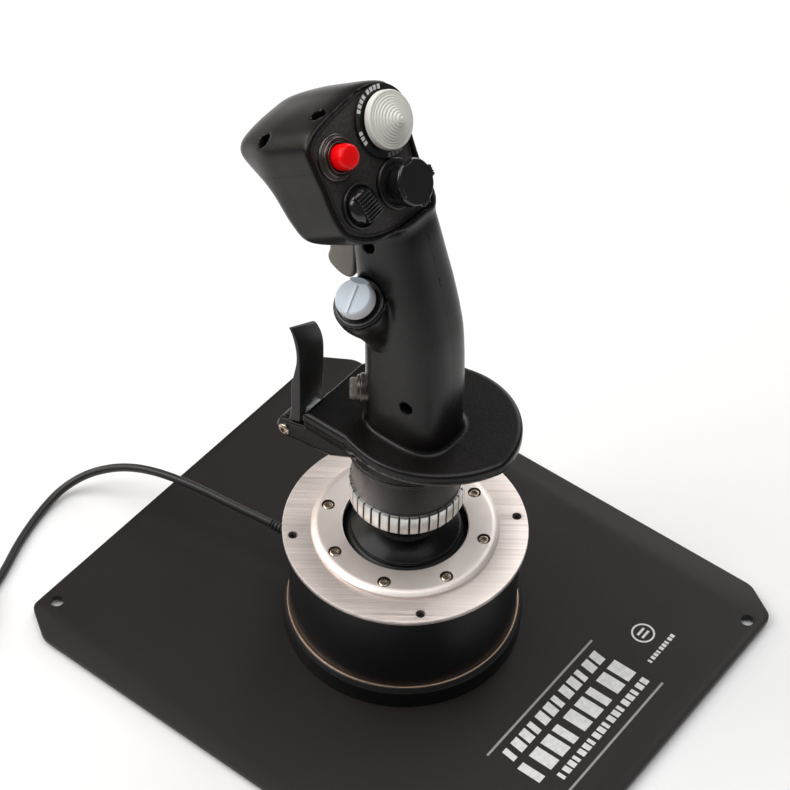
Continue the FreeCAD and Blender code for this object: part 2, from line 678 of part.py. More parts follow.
# ---------------------------------------------------------------- hats and buttons
def hat_switch(base, axis, across):
    """Housing and pivot ring of a four-way switch; the pivot lies on the axis at base."""
    outer, inner = SWITCH_R
    along = unit(axis)
    side = unit(across)
    cup = turned([(0, -5.0), (outer, -5.0), (outer, 2.2), (inner, 2.2), (inner, -4.2), (0, -4.2)], base, along)
    cup = cup.cut(rod(0.86, 20.0, base - side * 10.0, side))
    ring = turned([(4.4, -1.4), (6.4, -1.4), (6.4, 1.4), (4.4, 1.4)], base, along)
    pins = [rod(0.8, 2.0, base + side * 6.0, side), rod(0.8, 2.0, base - side * 6.0, side * -1.0)]
    ring = fuse([ring] + pins)
    other = along.cross(side)
    return cup, ring.cut(rod(0.86, 20.0, base - other * 10.0, other))


def hat_stem(base, axis, across, top):
    along = unit(axis)
    other = along.cross(unit(across))
    stem = turned([(0, -3.4), (3.0, -3.4), (3.6, -2.6), (3.6, top), (0, top)], base, along)
    pins = [rod(0.8, 3.2, base + other * 3.0, other), rod(0.8, 3.2, base - other * 3.0, other * -1.0)]
    return fuse([stem] + pins)


def panel_hat_pivot(pos):
    return panel_point(pos, -HAT_PIVOT_DEPTH - 0.3)


def side_hat_pivot_point():
    return SIDE_HAT_FACE - unit(SIDE_HAT_AXIS) * (SIDE_SEAT_DEPTH + 3.4)


def switch_sets():
    sets = [(panel_hat_pivot(p), PANEL_N, X) for p in (TRIM_POS, UPPER_HAT_POS, LOWER_HAT_POS)]
    sets.append((side_hat_pivot_point(), SIDE_HAT_AXIS, Y))
    return sets


def hat_housings():
    return group([hat_switch(*s)[0] for s in switch_sets()])


def trim_hat():
    """Broad stepped cone on a short stem."""
    steps = [(0, 1.7), (11.0, 1.7), (11.45, 2.1), (11.45, 4.5), (11.0, 5.0)]
    radius, height = 10.2, 5.1
    for i in range(9):
        steps.append((radius, height))
        height += 0.30 + 0.055 * i
        steps.append((radius - 0.2, height))
        radius -= 1.03
    steps += [(radius, height), (0, height + 0.3)]
    cap = on_panel(steps, TRIM_POS)
    stem = hat_stem(panel_hat_pivot(TRIM_POS), PANEL_N, X, HAT_PIVOT_DEPTH + 2.2)
    return fuse([cap, stem])


def trim_bezel():
    profile = [
        (6.6, -0.85), (10.0, -0.85), (10.0, 0.05), (14.3, 0.05), (14.3, 0.25), (14.1, 0.45), (9.2, 0.45),
        (8.8, 0.1), (6.6, 0.1),
    ]
    ring = on_panel(profile, TRIM_POS)
    return ring.common(recessed(-0.3, -3.0, 3.0))


def upper_hat():
    """Flat-topped round cap with four ribbed lugs on its edge."""
    cap = on_panel([
        (0, 0.6), (6.6, 0.6), (7.0, 4.4), (8.9, 5.2), (9.35, 6.2), (9.35, 10.5), (8.8, 11.2), (0, 11.2),
    ], UPPER_HAT_POS)
    lugs = []
    for i in range(4):
        angle = math.radians(90.0 * i)
        out = X * math.cos(angle) + PANEL_U * math.sin(angle)
        lug = Part.makeBox(1.3, 4.6, 2.4, V(8.5, -2.3, 9.1))
        turn = FreeCAD.Rotation(out, PANEL_N.cross(out), PANEL_N, "ZXY")
        lug.Placement = FreeCAD.Placement(panel_point(UPPER_HAT_POS), turn)
        lugs.append(lug)
    stem = hat_stem(panel_hat_pivot(UPPER_HAT_POS), PANEL_N, X, HAT_PIVOT_DEPTH + 1.2)
    return fuse([cap, stem] + lugs)


def upper_hat_bezel():
    return on_panel([(7.9, -0.85), (10.0, -0.85), (10.0, 0.5), (9.6, 1.0), (8.4, 1.0), (7.9, 0.5)], UPPER_HAT_POS)


def lower_hat():
    """Glossy dome with a raised ribbed grip."""
    dome = [(0, 0.4), (6.9, 0.4), (6.95, 1.4), (6.4, 2.8), (5.3, 4.0), (3.6, 4.9), (0, 5.4)]
    cap = on_panel(dome, LOWER_HAT_POS)
    grip = Part.makeBox(7.6, 11.2, 4.2, V(-4.0, -5.6, 2.4))
    grip.Placement = FreeCAD.Placement(panel_point(LOWER_HAT_POS), FreeCAD.Rotation(X, PANEL_U, PANEL_N, "ZXY"))
    stem = hat_stem(panel_hat_pivot(LOWER_HAT_POS), PANEL_N, X, HAT_PIVOT_DEPTH + 1.2)
    return fuse([cap, grip, stem])


def lower_hat_bezel():
    return on_panel([(7.9, -0.85), (8.8, -0.85), (8.8, 0.5), (8.5, 0.9), (8.1, 0.9), (7.9, 0.5)], LOWER_HAT_POS)


def red_button():
    return on_panel([(0, -6.0), (4.0, -6.0), (4.0, -3.4), (4.9, -3.4), (5.1, 6.8), (4.3, 7.7), (0, 7.9)], RED_POS)


def red_collar():
    return on_panel([(5.3, -4.4), (5.48, -4.4), (5.48, -0.85), (9.2, -0.85), (9.2, -0.1), (8.8, 0.3), (8.0, 0.4),
                     (8.0, 1.9), (7.6, 2.3), (6.95, 2.3), (6.85, 1.6), (5.9, 1.1), (5.3, 1.1)], RED_POS)


def side_hat(profile):
    return turned(profile, SIDE_HAT_FACE, unit(SIDE_HAT_AXIS))


def side_hat_cap():
    cap = side_hat([(2.4, -5.0), (7.0, -5.0), (8.3, -4.0), (8.3, -1.3), (7.4, 0), (0, 0), (0, -3.2), (2.4, -3.2)])
    rail = rod(2.2, 2.0, SIDE_HAT_FACE - unit(SIDE_HAT_AXIS) * 4.0, SIDE_HAT_AXIS)
    return fuse([cap, rail])


def side_hat_stem():
    base = side_hat_pivot_point()
    return hat_stem(base, SIDE_HAT_AXIS, Y, SIDE_SEAT_DEPTH + 3.4 - 5.9)


def side_hat_collar():
    return side_hat([
        (5.6, -8.55), (10.6, -8.55), (10.6, -7.6), (9.9, -6.9), (8.9, -6.7), (6.2, -6.7), (5.6, -7.2),
    ])


def side_button():
    return turned([(0, -4.0), (4.0, -4.0), (4.0, -2.0), (4.7, -2.0), (4.7, 5.3), (4.3, 5.9), (0, 5.9)],
                  SIDE_BUTTON_POS, unit(SIDE_BUTTON_AXIS))


def side_button_collar():
    return turned([(4.8, -5.0), (6.6, -5.0), (6.6, 2.2), (6.1, 2.8), (4.8, 2.8)],
                  SIDE_BUTTON_POS, unit(SIDE_BUTTON_AXIS))


# ---------------------------------------------------------------- trigger and paddle
def trigger():
    y, z = TRIGGER_PIVOT
    blade = yz_prism([
        (y - 4.0, z + 1.0), (y + 3.0, z + 3.0), (y + 9.8, z - 5.0), (40.6, 234.0), (38.8, 222.0), (38.6, 213.0),
        (39.8, 208.0), (38.0, 204.2), (32.0, 201.6), (26.4, 203.0), (25.2, 212.0), (25.6, 232.0),
    ], (-TRIGGER_HALF_WIDTH, TRIGGER_HALF_WIDTH))
    eye = rod(4.2, 2 * TRIGGER_HALF_WIDTH, V(-TRIGGER_HALF_WIDTH, y, z), X)
    return fuse([blade, eye]).cut(rod(PIN_R + 0.05, 30.0, V(-15.0, y, z), X))


def trigger_pin():
    y, z = TRIGGER_PIVOT
    return rod(PIN_R, 2 * TRIGGER_HALF_WIDTH + 7.6, V(-TRIGGER_HALF_WIDTH - 3.8, y, z), X)


def trigger_switch():
    body = block((-5.0, 5.0), (9.6, 16.6), (208.0, 221.0))
    button = block((-1.5, 1.5), (16.6, 18.4), (209.5, 212.0))
    return fuse([body, button])


def paddle_lever():
    y, z = PADDLE_PIVOT
    blade = yz_prism([
        (45.0, 125.2), (43.2, 130.0), (42.9, 137.0), (42.9, 144.0), (42.4, 149.0), (41.0, 156.0), (39.8, 163.0),
        (39.9, 168.0), (40.8, 174.6), (43.2, 180.0), (41.6, 180.2), (39.0, 174.6), (38.0, 167.0), (37.9, 156.0), (38.0, 134.0),
        (38.4, 127.4),
    ], PADDLE_X)
    slant = prism([V(PADDLE_X[0] - 1.0, 30.0, 180.4), V(PADDLE_X[1] + 1.0, 30.0, 172.2),
                   V(PADDLE_X[1] + 1.0, 30.0, 190.0), V(PADDLE_X[0] - 1.0, 30.0, 190.0)], V(0, 20.0, 0))
    notch = prism([V(-9.0, 30.0, 130.0), V(-12.0, 30.0, 133.4), V(-15.0, 30.0, 135.4), V(-21.0, 30.0, 135.4),
                   V(-22.6, 30.0, 134.2), V(-22.6, 30.0, 120.0), V(-9.0, 30.0, 120.0)], V(0, 20.0, 0))
    bridge = yz_prism([(40.4, 127.4), (44.8, 127.4), (43.6, 136.4), (41.8, 136.4)], (-25.0, -13.6))
    hub_x = (-22.2, -13.6)
    hub = rod(5.2, hub_x[1] - hub_x[0], V(hub_x[0], y, z), X)
    neck = yz_prism([(41.6, 120.2), (51.6, 119.0), (46.8, 128.0), (40.6, 128.0)], hub_x)
    lever = fuse([blade.cut(slant).cut(notch), bridge, hub, neck])
    return lever.cut(rod(PIN_R + 0.05, 40.0, V(-36.0, y, z), X))


def paddle_pin():
    y, z = PADDLE_PIVOT
    return socket_screw(2.7, 1.4, PIN_R, 16.6, V(PADDLE_X[0] - 0.05, y, z), V(-1, 0, 0))


def paddle_plunger():
    return yz_prism([(26.0, 127.0), (38.6, 127.0), (39.4, 128.6), (39.5, 131.6), (38.9, 133.2), (37.4, 133.8),
                     (26.0, 133.8)], (-21.6, -14.4))


# ---------------------------------------------------------------- grip wiring
def grip_board():
    board = block((-7.0, 7.0), (-11.0, -9.4), (142.0, 196.0))
    chips = [block((-3.5, 3.5), (-9.4, -7.9), (168.0, 175.0)), block((-6.0, 6.0), (-9.4, -4.4), (146.0, 151.0)),
             block((-6.0, 6.0), (-9.4, -4.4), (187.0, 192.0))]
    return fuse([board] + chips)


# ---------------------------------------------------------------- cable
def rounded_path(route):
    """Straight runs joined by tangent arcs, each as large as its two runs allow."""
    points = [V(*p) for p in route]
    edges = []
    radii = []
    start = points[0]
    for before, corner, after in zip(points, points[1:], points[2:]):
        inward = unit(before - corner)
        outward = unit(after - corner)
        turn = math.pi - inward.getAngle(outward)
        run = min((before - corner).Length, (after - corner).Length)
        setback = 0.45 * run
        radii.append(setback / math.tan(turn / 2.0))
        first = corner + inward * setback
        last = corner + outward * setback
        gap = radii[-1] / math.cos(turn / 2.0) - radii[-1]
        middle = corner + unit(inward + outward) * gap
        edges.append(Part.LineSegment(start, first).toShape())
        edges.append(Part.Arc(first, middle, last).toShape())
        start = last
    edges.append(Part.LineSegment(start, points[-1]).toShape())
    return Part.Wire(edges), radii


def cord_tube(name, route):
    path, radii = rounded_path(route)
    direction = V(*route[1]) - V(*route[0])
    section = Part.Wire([Part.makeCircle(CABLE_R, V(*route[0]), direction)])
    solid = path.makePipeShell([section], True, False)
    print(name, "arc radii", [round(r, 1) for r in radii])
    print(name, "length", round(path.Length, 1))
    return Part.Solid(solid) if solid.ShapeType != "Solid" else solid


def cable_run():
    return group([cord_tube("lead", CABLE_ROUTE), cord_tube("tail", TAIL_ROUTE)])


def cable_coil():
    inner, outer = COIL_TURN_R
    low, high = inner - CABLE_R, outer + CABLE_R
    top = 2.0 * CABLE_R * COIL_LAYERS
    corner = 1.2
    return turned([
        (low + corner, 0), (high - corner, 0), (high, corner), (high, top - corner), (high - corner, top),
        (low + corner, top), (low, top - corner), (low, corner),
    ], V(COIL_CENTRE[0], COIL_CENTRE[1], 0))


def strain_relief():
    out = around(1.0, 1, CABLE_EXIT_ANGLE)[0]
    base = out * (DRUM_R + 0.02) + V(0, 0, CABLE_EXIT_Z)
    profile = [(0, -6.0), (3.1, -6.0), (3.1, 0.1), (4.2, 0.1), (4.2, 2.2), (3.6, 3.0), (2.5, 19.2), (0, 19.2)]
    return turned(profile, base, out)


def usb_plug():
    end = V(*TAIL_ROUTE[-1])
    out = unit(end - V(*TAIL_ROUTE[-2]))
    out.z = 0.0
    out = unit(out)
    sleeve = turned([(0, 0.0), (2.6, 0.0), (3.5, 8.0), (0, 8.0)], end, out)
    body = plug_block(end + out * 7.6, out, 30.0, 15.6, 7.8)
    return fuse([sleeve, body])


def plug_block(base, out, length, width, height):
    """Rounded bar lying flat, its length along out."""
    across = V(-out.y, out.x, 0)
    box = Part.makeBox(length, width, height, V(0, -width / 2.0, -height / 2.0))
    box = box.makeFillet(1.2, box.Edges)
    turn = FreeCAD.Rotation(out, across, Z, "XYZ")
    box.Placement = FreeCAD.Placement(base, turn)
    return box


def usb_shell():
    end = V(*TAIL_ROUTE[-1])
    out = V(*TAIL_ROUTE[-1]) - V(*TAIL_ROUTE[-2])
    out.z = 0.0
    out = unit(out)
    outer = plug_block(end + out * 37.6, out, 12.6, 12.0, 4.5)
    across = V(-out.y, out.x, 0)
    hollow = Part.makeBox(12.0, 11.2, 1.9, V(1.6, -5.6, 0.0))
    hollow.Placement = FreeCAD.Placement(end + out * 37.6, FreeCAD.Rotation(out, across, Z, "XYZ"))
    return outer.cut(hollow)


# ---------------------------------------------------------------- write every piece
def main():
    os.makedirs("parts", exist_ok=True)
    shell = shell_with_walls()
    lid = above_seam()
    lower = shell.cut(lid)
    pieces = {
        "base_plate": base_plate(),
        "rubber_feet": rubber_feet(),
        "plate_screws": plate_screws(),
        "drum_foot_ring": drum_foot_ring(),
        "drum_housing": drum_housing(),
        "top_disc": top_disc(),
        "disc_screws": disc_screws(),
        "inner_ring": inner_ring(),
        "ring_screws": ring_screws(),
        "strain_relief": strain_relief(),
        "gimbal_bracket": gimbal_bracket(),
        "pitch_bearings": bearings_along_x(),
        "pitch_springs": pitch_springs(),
        "sensor_board": sensor_board(),
        "cable_run": cable_run(),
        "cable_coil": cable_coil(),
        "usb_plug": usb_plug(),
        "usb_shell": usb_shell(),
        "gimbal_ring": gimbal_ring(),
        "roll_bearings": bearings_along_y(),
        "stick_hub": stick_hub(),
        "roll_springs": roll_springs(),
        "magnet_cup": magnet_cup(),
        "sensor_magnet": sensor_magnet(),
        "dust_dome": dust_dome(),
        "boot": boot(),
        "base_connector": base_connector(),
        "pin_connector": pin_connector(),
        "grip_collar": grip_collar(),
        "grip_left": largest(lower.common(half_space(-1))),
        "grip_right": largest(lower.common(half_space(1))),
        "head_cover": largest(shell.common(lid)),
        "face_plate": face_plate(),
        "trim_bezel": trim_bezel(),
        "red_collar": red_collar(),
        "upper_hat_bezel": upper_hat_bezel(),
        "lower_hat_bezel": lower_hat_bezel(),
        "side_hat_collar": side_hat_collar(),
        "side_button_collar": side_button_collar(),
        "hat_housings": hat_housings(),
        "grip_board": grip_board(),
        "grip_screws": grip_screws(),
        "paddle_pin": paddle_pin(),
        "trigger_pin": trigger_pin(),
        "trigger_switch": trigger_switch(),
        "lock_nut": lock_nut(),
        "trigger": trigger(),
        "paddle_lever": paddle_lever(),
        "paddle_plunger": paddle_plunger(),
        "side_button": side_button(),
        "red_button": red_button(),
        "trim_hat": trim_hat(),
        "upper_hat": upper_hat(),
        "lower_hat": lower_hat(),
        "side_hat_stem": side_hat_stem(),
        "side_hat_cap": side_hat_cap(),
    }
    names = ["trim_pivot", "upper_hat_pivot", "lower_hat_pivot", "side_hat_pivot"]
    for name, switch in zip(names, switch_sets()):
        pieces[name] = hat_switch(*switch)[1]
    for name, shape in pieces.items():
        save(name, shape)
    print(len(pieces), "nodes")


main()
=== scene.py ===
import json
import math

import bmesh
import bpy
import numpy as np
from mathutils import Matrix, Vector


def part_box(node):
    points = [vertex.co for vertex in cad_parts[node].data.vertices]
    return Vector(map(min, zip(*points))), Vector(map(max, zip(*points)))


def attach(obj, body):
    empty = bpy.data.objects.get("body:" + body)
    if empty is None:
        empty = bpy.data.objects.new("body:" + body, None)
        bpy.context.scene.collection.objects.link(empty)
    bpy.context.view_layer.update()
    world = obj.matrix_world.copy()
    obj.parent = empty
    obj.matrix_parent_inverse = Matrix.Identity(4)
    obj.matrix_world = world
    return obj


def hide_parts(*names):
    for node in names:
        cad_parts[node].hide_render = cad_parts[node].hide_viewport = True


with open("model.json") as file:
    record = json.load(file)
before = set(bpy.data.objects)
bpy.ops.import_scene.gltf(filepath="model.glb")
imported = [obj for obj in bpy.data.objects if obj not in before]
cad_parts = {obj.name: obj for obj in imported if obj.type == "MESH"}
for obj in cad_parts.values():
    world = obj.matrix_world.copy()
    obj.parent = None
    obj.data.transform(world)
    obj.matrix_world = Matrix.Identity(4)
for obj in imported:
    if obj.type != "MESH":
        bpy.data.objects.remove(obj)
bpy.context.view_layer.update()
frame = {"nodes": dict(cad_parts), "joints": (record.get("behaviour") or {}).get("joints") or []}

# Looks of a flight joystick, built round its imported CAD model.  Shapes are worked out in millimetres in the
# model's own frame (+Z up, +Y away from the pilot) and scaled to metres when each mesh is made.

MM = 0.001
X, Y, Z = Vector((1, 0, 0)), Vector((0, 1, 0)), Vector((0, 0, 1))


def joint(name):
    return next(j for j in frame["joints"] if j["name"] == name)


def low(node, axis):
    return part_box(node)[0][axis] / MM


def high(node, axis):
    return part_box(node)[1][axis] / MM


# ---------------------------------------------------------------- driving places, from the frame
PLATE_BOTTOM, PLATE_TOP = low("base_plate", 2), high("base_plate", 2)
PLATE_HALF = (high("base_plate", 0), high("base_plate", 1))
PLATE_CUT = (10.2, 16.5)
MOUNT_HALF = (95.0, 127.6)
MOUNT_HOLE_R = 3.1

DRUM_R, DRUM_HOLE_R = 51.8, 47.5
ROUND = 192
FOOT_RING_TOP = high("drum_foot_ring", 2)
FOOT_RING_R, FOOT_EDGE_R = high("drum_foot_ring", 0), 53.0
DISC_BOTTOM, DISC_TOP = low("top_disc", 2), high("top_disc", 2)
DISC_R = high("top_disc", 0)
DISC_HOLE_R = 33.0
DISC_SCREW_CIRCLE = 49.9
RING_TOP = high("inner_ring", 2)
RING_R, RING_HOLE_R = high("inner_ring", 0), 27.7
RING_SCREW_CIRCLE = 35.5
PLATE_SCREW_CIRCLE = 40.0
PRINT_HALF, PRINT_RULES_Y, PRINT_RING = 40.5, (-78.1, -116.6), (58.6, -94.1)
PRINT_THICKNESS, PRINT_SUNK = 0.03, 0.05
# Rows of blocks: reach along X, reach along Y, number of blocks and their slant.
PRINT_ROWS = [
    ((-36.0, 37.0), (-89.0, -82.2), 12, 0.9), ((-38.0, 40.0), (-104.2, -92.4), 9, 0.0),
    ((-30.0, 38.5), (-111.6, -107.6), 18, 0.0), ((46.5, 67.0), (-106.6, -104.4), 9, 0.0),
]
PIVOT_Z = 34.0
DOME_R, BOOT_R = 40.0, 41.0
BOOT_ANGLE = math.radians(36.5)
NECK_R = 15.4
NUT_LOW, NUT_HIGH = low("lock_nut", 2), high("lock_nut", 2)
NUT_R = 25.2
NUT_RIBS = 36
CONNECTOR_R = 20.0
COLLAR_LOW, COLLAR_HIGH = low("grip_collar", 2), 119.0
COLLAR_R, HUB_R = 24.0, 26.0
REST_LOW, REST_HIGH = 128.0, 135.0

PANEL_U = Vector(joint("trim_tilt_left_right")["axis"]).normalized()
PANEL_N = X.cross(PANEL_U)
PANEL_ORIGIN = Vector((0.0, 19.7, 282.0))
RIM_WIDTH, PANEL_DEPTH = 2.4, 0.9
SEAM_U = 0.2
TRIM_POS, RED_POS = (3.3, 0.0), (-24.3, -0.2)
LOWER_HAT_POS, UPPER_HAT_POS = (-24.3, -21.0), (-3.7, -23.4)
SIDE_HAT_FACE = Vector((-25.0, 11.4, 216.5))
SIDE_HAT_AXIS = Vector((-0.53, 0.0, 0.848)).normalized()
SIDE_HAT_SEAT, SIDE_HAT_SPIN = 8.6, 12.0
SIDE_BUTTON_POS = Vector((-9.4, 17.2, 148.6))
SIDE_BUTTON_AXIS = Vector((-0.6, 0.8, 0.0))
TRIGGER_HALF_WIDTH = 6.0
TRIGGER_Y, TRIGGER_Z = 28.0, 249.5
PADDLE_Y, PADDLE_Z = 46.5, 118.5
PADDLE_X = (-26.0, -10.0)

# Column sections: height, centre along Y, half width, half depth.
COLUMN = [
    (132.0, -2.6, 17.5, 22.0), (165.0, -1.9, 17.5, 22.0), (188.0, -0.7, 17.5, 21.5), (200.0, 1.1, 17.3, 21.0),
    (212.0, 3.9, 17.1, 20.4), (226.0, 7.2, 16.8, 19.2), (241.0, 10.6, 16.4, 17.8), (254.0, 14.5, 16.0, 17.0),
]
PANEL_OUTLINE = [
    (2.4, 17.0), (-8.0, 17.2), (-20.0, 16.0), (-31.0, 13.2), (-36.2, 8.8), (-37.3, 1.0), (-37.6, -8.0),
    (-38.4, -19.0), (-36.8, -27.4), (-31.0, -33.6), (-23.0, -37.8), (-11.0, -40.6), (1.0, -41.0),
    (9.6, -39.6), (13.0, -18.0), (16.2, 1.0), (12.4, 12.0),
]
HEAD_SIDE = [
    (-2.2, 247.4), (7.0, 243.2), (18.0, 239.8), (26.5, 241.5), (33.5, 249.5), (45.5, 258.6), (56.0, 260.4),
    (63.0, 262.6), (66.8, 267.0), (66.0, 272.5), (62.0, 278.0), (55.5, 283.8), (47.0, 291.0), (38.0, 296.0),
    (28.8, 297.0),
]
HEAD_TAPER = [(0.0, 1.0), (16.0, 1.0), (28.0, 0.98), (42.0, 0.82), (54.0, 0.7), (64.0, 0.54)]
HEAD_MIDDLE_X = -9.5
ARM_SIDE = [
    (10.0, 124.0), (22.0, 117.2), (41.0, 114.6), (46.5, 113.4), (50.2, 115.0), (51.6, 118.5), (50.2, 122.0),
    (46.5, 123.6), (42.0, 124.6), (36.0, 126.4), (35.8, 133.0), (10.0, 133.0),
]
SCREW_WELL_R, SCREW_WELL_DEPTH = 3.0, 4.0
# Openings in the grip as their reaches along X, Y and Z.
TRIGGER_SLOT = ((-TRIGGER_HALF_WIDTH - 0.5, TRIGGER_HALF_WIDTH + 0.5), (18.0, 43.0), (198.0, 255.0))
LEVER_SLOT = ((-22.5, -13.3), (36.2, 60.0), (100.0, 140.0))
PLUNGER_POCKET = ((-22.4, -12.0), (24.0, 50.0), (126.4, 134.0))
# Blends between the grip's parts, in millimetres.
HEAD_EDGE_BLEND, HEAD_BLEND, FUNNEL_BLEND, REST_BLEND = 6.5, 6.0, 1.3, 2.6
GRIP_STEP, QUICK_GRIP_STEP = 0.75, 1.4
# Gap between grip parts in millimetres, and how far from a seam, in grid steps, points are drawn onto it.
SEAM_GAP, SEAM_REACH = 0.04, 0.72

# Cable: radius, then the route from the strain relief, the coil's place and turns, and the tail to the plug.
CABLE_R = 2.0
CABLE_EXIT_ANGLE, CABLE_EXIT_Z = math.radians(96.5), 22.0
CABLE_ROUTE = [
    (-8.1, 71.3, 22.0), (-12.3, 93.6, 24.0), (-15.0, 114.0, 25.0), (-19.0, 135.9, 23.5), (-23.4, 151.6, 19.0),
    (-29.8, 163.5, 13.0), (-36.6, 170.4, 8.0), (-46.0, 174.5, 3.5), (-61.1, 172.9, 2.0), (-79.1, 167.9, 2.0),
    (-97.0, 160.5, 2.0), (-116.0, 155.0, 2.0),
]
TAIL_ROUTE = [(-162.5, 195.0, 11.5), (-153.0, 209.0, 7.5), (-138.0, 216.0, 4.6), (-122.0, 216.5, 4.2)]
COIL_CENTRE = (-138.0, 178.0)
COIL_RADII = (26.0, 22.0, 18.0)
COIL_LAYERS = 4
COIL_STEPS = 16


def unit(v):
    return Vector(v).normalized()


def panel_point(pos, out=0.0):
    return PANEL_ORIGIN + X * pos[0] + PANEL_U * pos[1] + PANEL_N * out


def around(radius, count, start=0.0, z=0.0):
    angles = [math.radians(start + 360.0 * i / count) for i in range(count)]
    return [Vector((radius * math.cos(a), radius * math.sin(a), z)) for a in angles]


def basis(origin, axis, across=None):
    """Matrix whose Z is the axis and whose X is as near as it can be to across."""
    z = unit(axis)
    hint = Vector(across) if across is not None else (X if abs(z.x) < 0.9 else Y)
    x = unit(hint - z * hint.dot(z))
    y = z.cross(x)
    turn = Matrix((x, y, z)).transposed().to_4x4()
    turn.translation = Vector(origin)
    return turn


# ---------------------------------------------------------------- materials
def shader(name, colour, roughness, metallic=0.0, spread=0.12, scale=90.0, bump=0.05, grain=None, coat=0.0,
           rough_spread=0.08, stretch=None, turn=0.0, specular=0.5, anisotropic=0.0):
    """Noise-driven material: colour, roughness and fine relief vary, at a scale in waves per metre."""
    material = bpy.data.materials.new(name)
    material.use_nodes = True
    tree = material.node_tree
    nodes, links = tree.nodes, tree.links
    bsdf = nodes["Principled BSDF"]
    bsdf.inputs["Metallic"].default_value = metallic
    bsdf.inputs["Specular IOR Level"].default_value = specular
    bsdf.inputs["Coat Weight"].default_value = coat
    bsdf.inputs["Coat Roughness"].default_value = 0.12
    bsdf.inputs["Anisotropic"].default_value = anisotropic

    where = nodes.new("ShaderNodeTexCoord")
    place = nodes.new("ShaderNodeMapping")
    place.inputs["Rotation"].default_value = (0.0, 0.0, turn)
    if stretch:
        place.vector_type = "TEXTURE"
        place.inputs["Scale"].default_value = stretch
    links.new(where.outputs["Object"], place.inputs["Vector"])

    def noise(waves, detail):
        made = nodes.new("ShaderNodeTexNoise")
        made.inputs["Scale"].default_value = waves
        made.inputs["Detail"].default_value = detail
        links.new(place.outputs["Vector"], made.inputs["Vector"])
        return made.outputs["Fac"]

    broad, fine = noise(scale, 3.0), noise(grain or scale * 14.0, 2.0)
    ramp = nodes.new("ShaderNodeValToRGB")
    ramp.color_ramp.elements[0].position = 0.3
    ramp.color_ramp.elements[1].position = 0.7
    ramp.color_ramp.elements[0].color = [c * (1.0 - spread) for c in colour] + [1.0]
    ramp.color_ramp.elements[1].color = [min(c * (1.0 + spread), 1.0) for c in colour] + [1.0]
    links.new(broad, ramp.inputs["Fac"])
    shade = ramp.outputs["Color"]
    links.new(shade, bsdf.inputs["Base Color"])

    gloss = nodes.new("ShaderNodeMapRange")
    gloss.inputs["To Min"].default_value = max(roughness - rough_spread, 0.02)
    gloss.inputs["To Max"].default_value = min(roughness + rough_spread, 1.0)
    links.new(fine, gloss.inputs["Value"])
    links.new(gloss.outputs["Result"], bsdf.inputs["Roughness"])

    relief = nodes.new("ShaderNodeBump")
    relief.inputs["Strength"].default_value = bump
    relief.inputs["Distance"].default_value = 0.0004
    links.new(fine, relief.inputs["Height"])
    links.new(relief.outputs["Normal"], bsdf.inputs["Normal"])
    return material


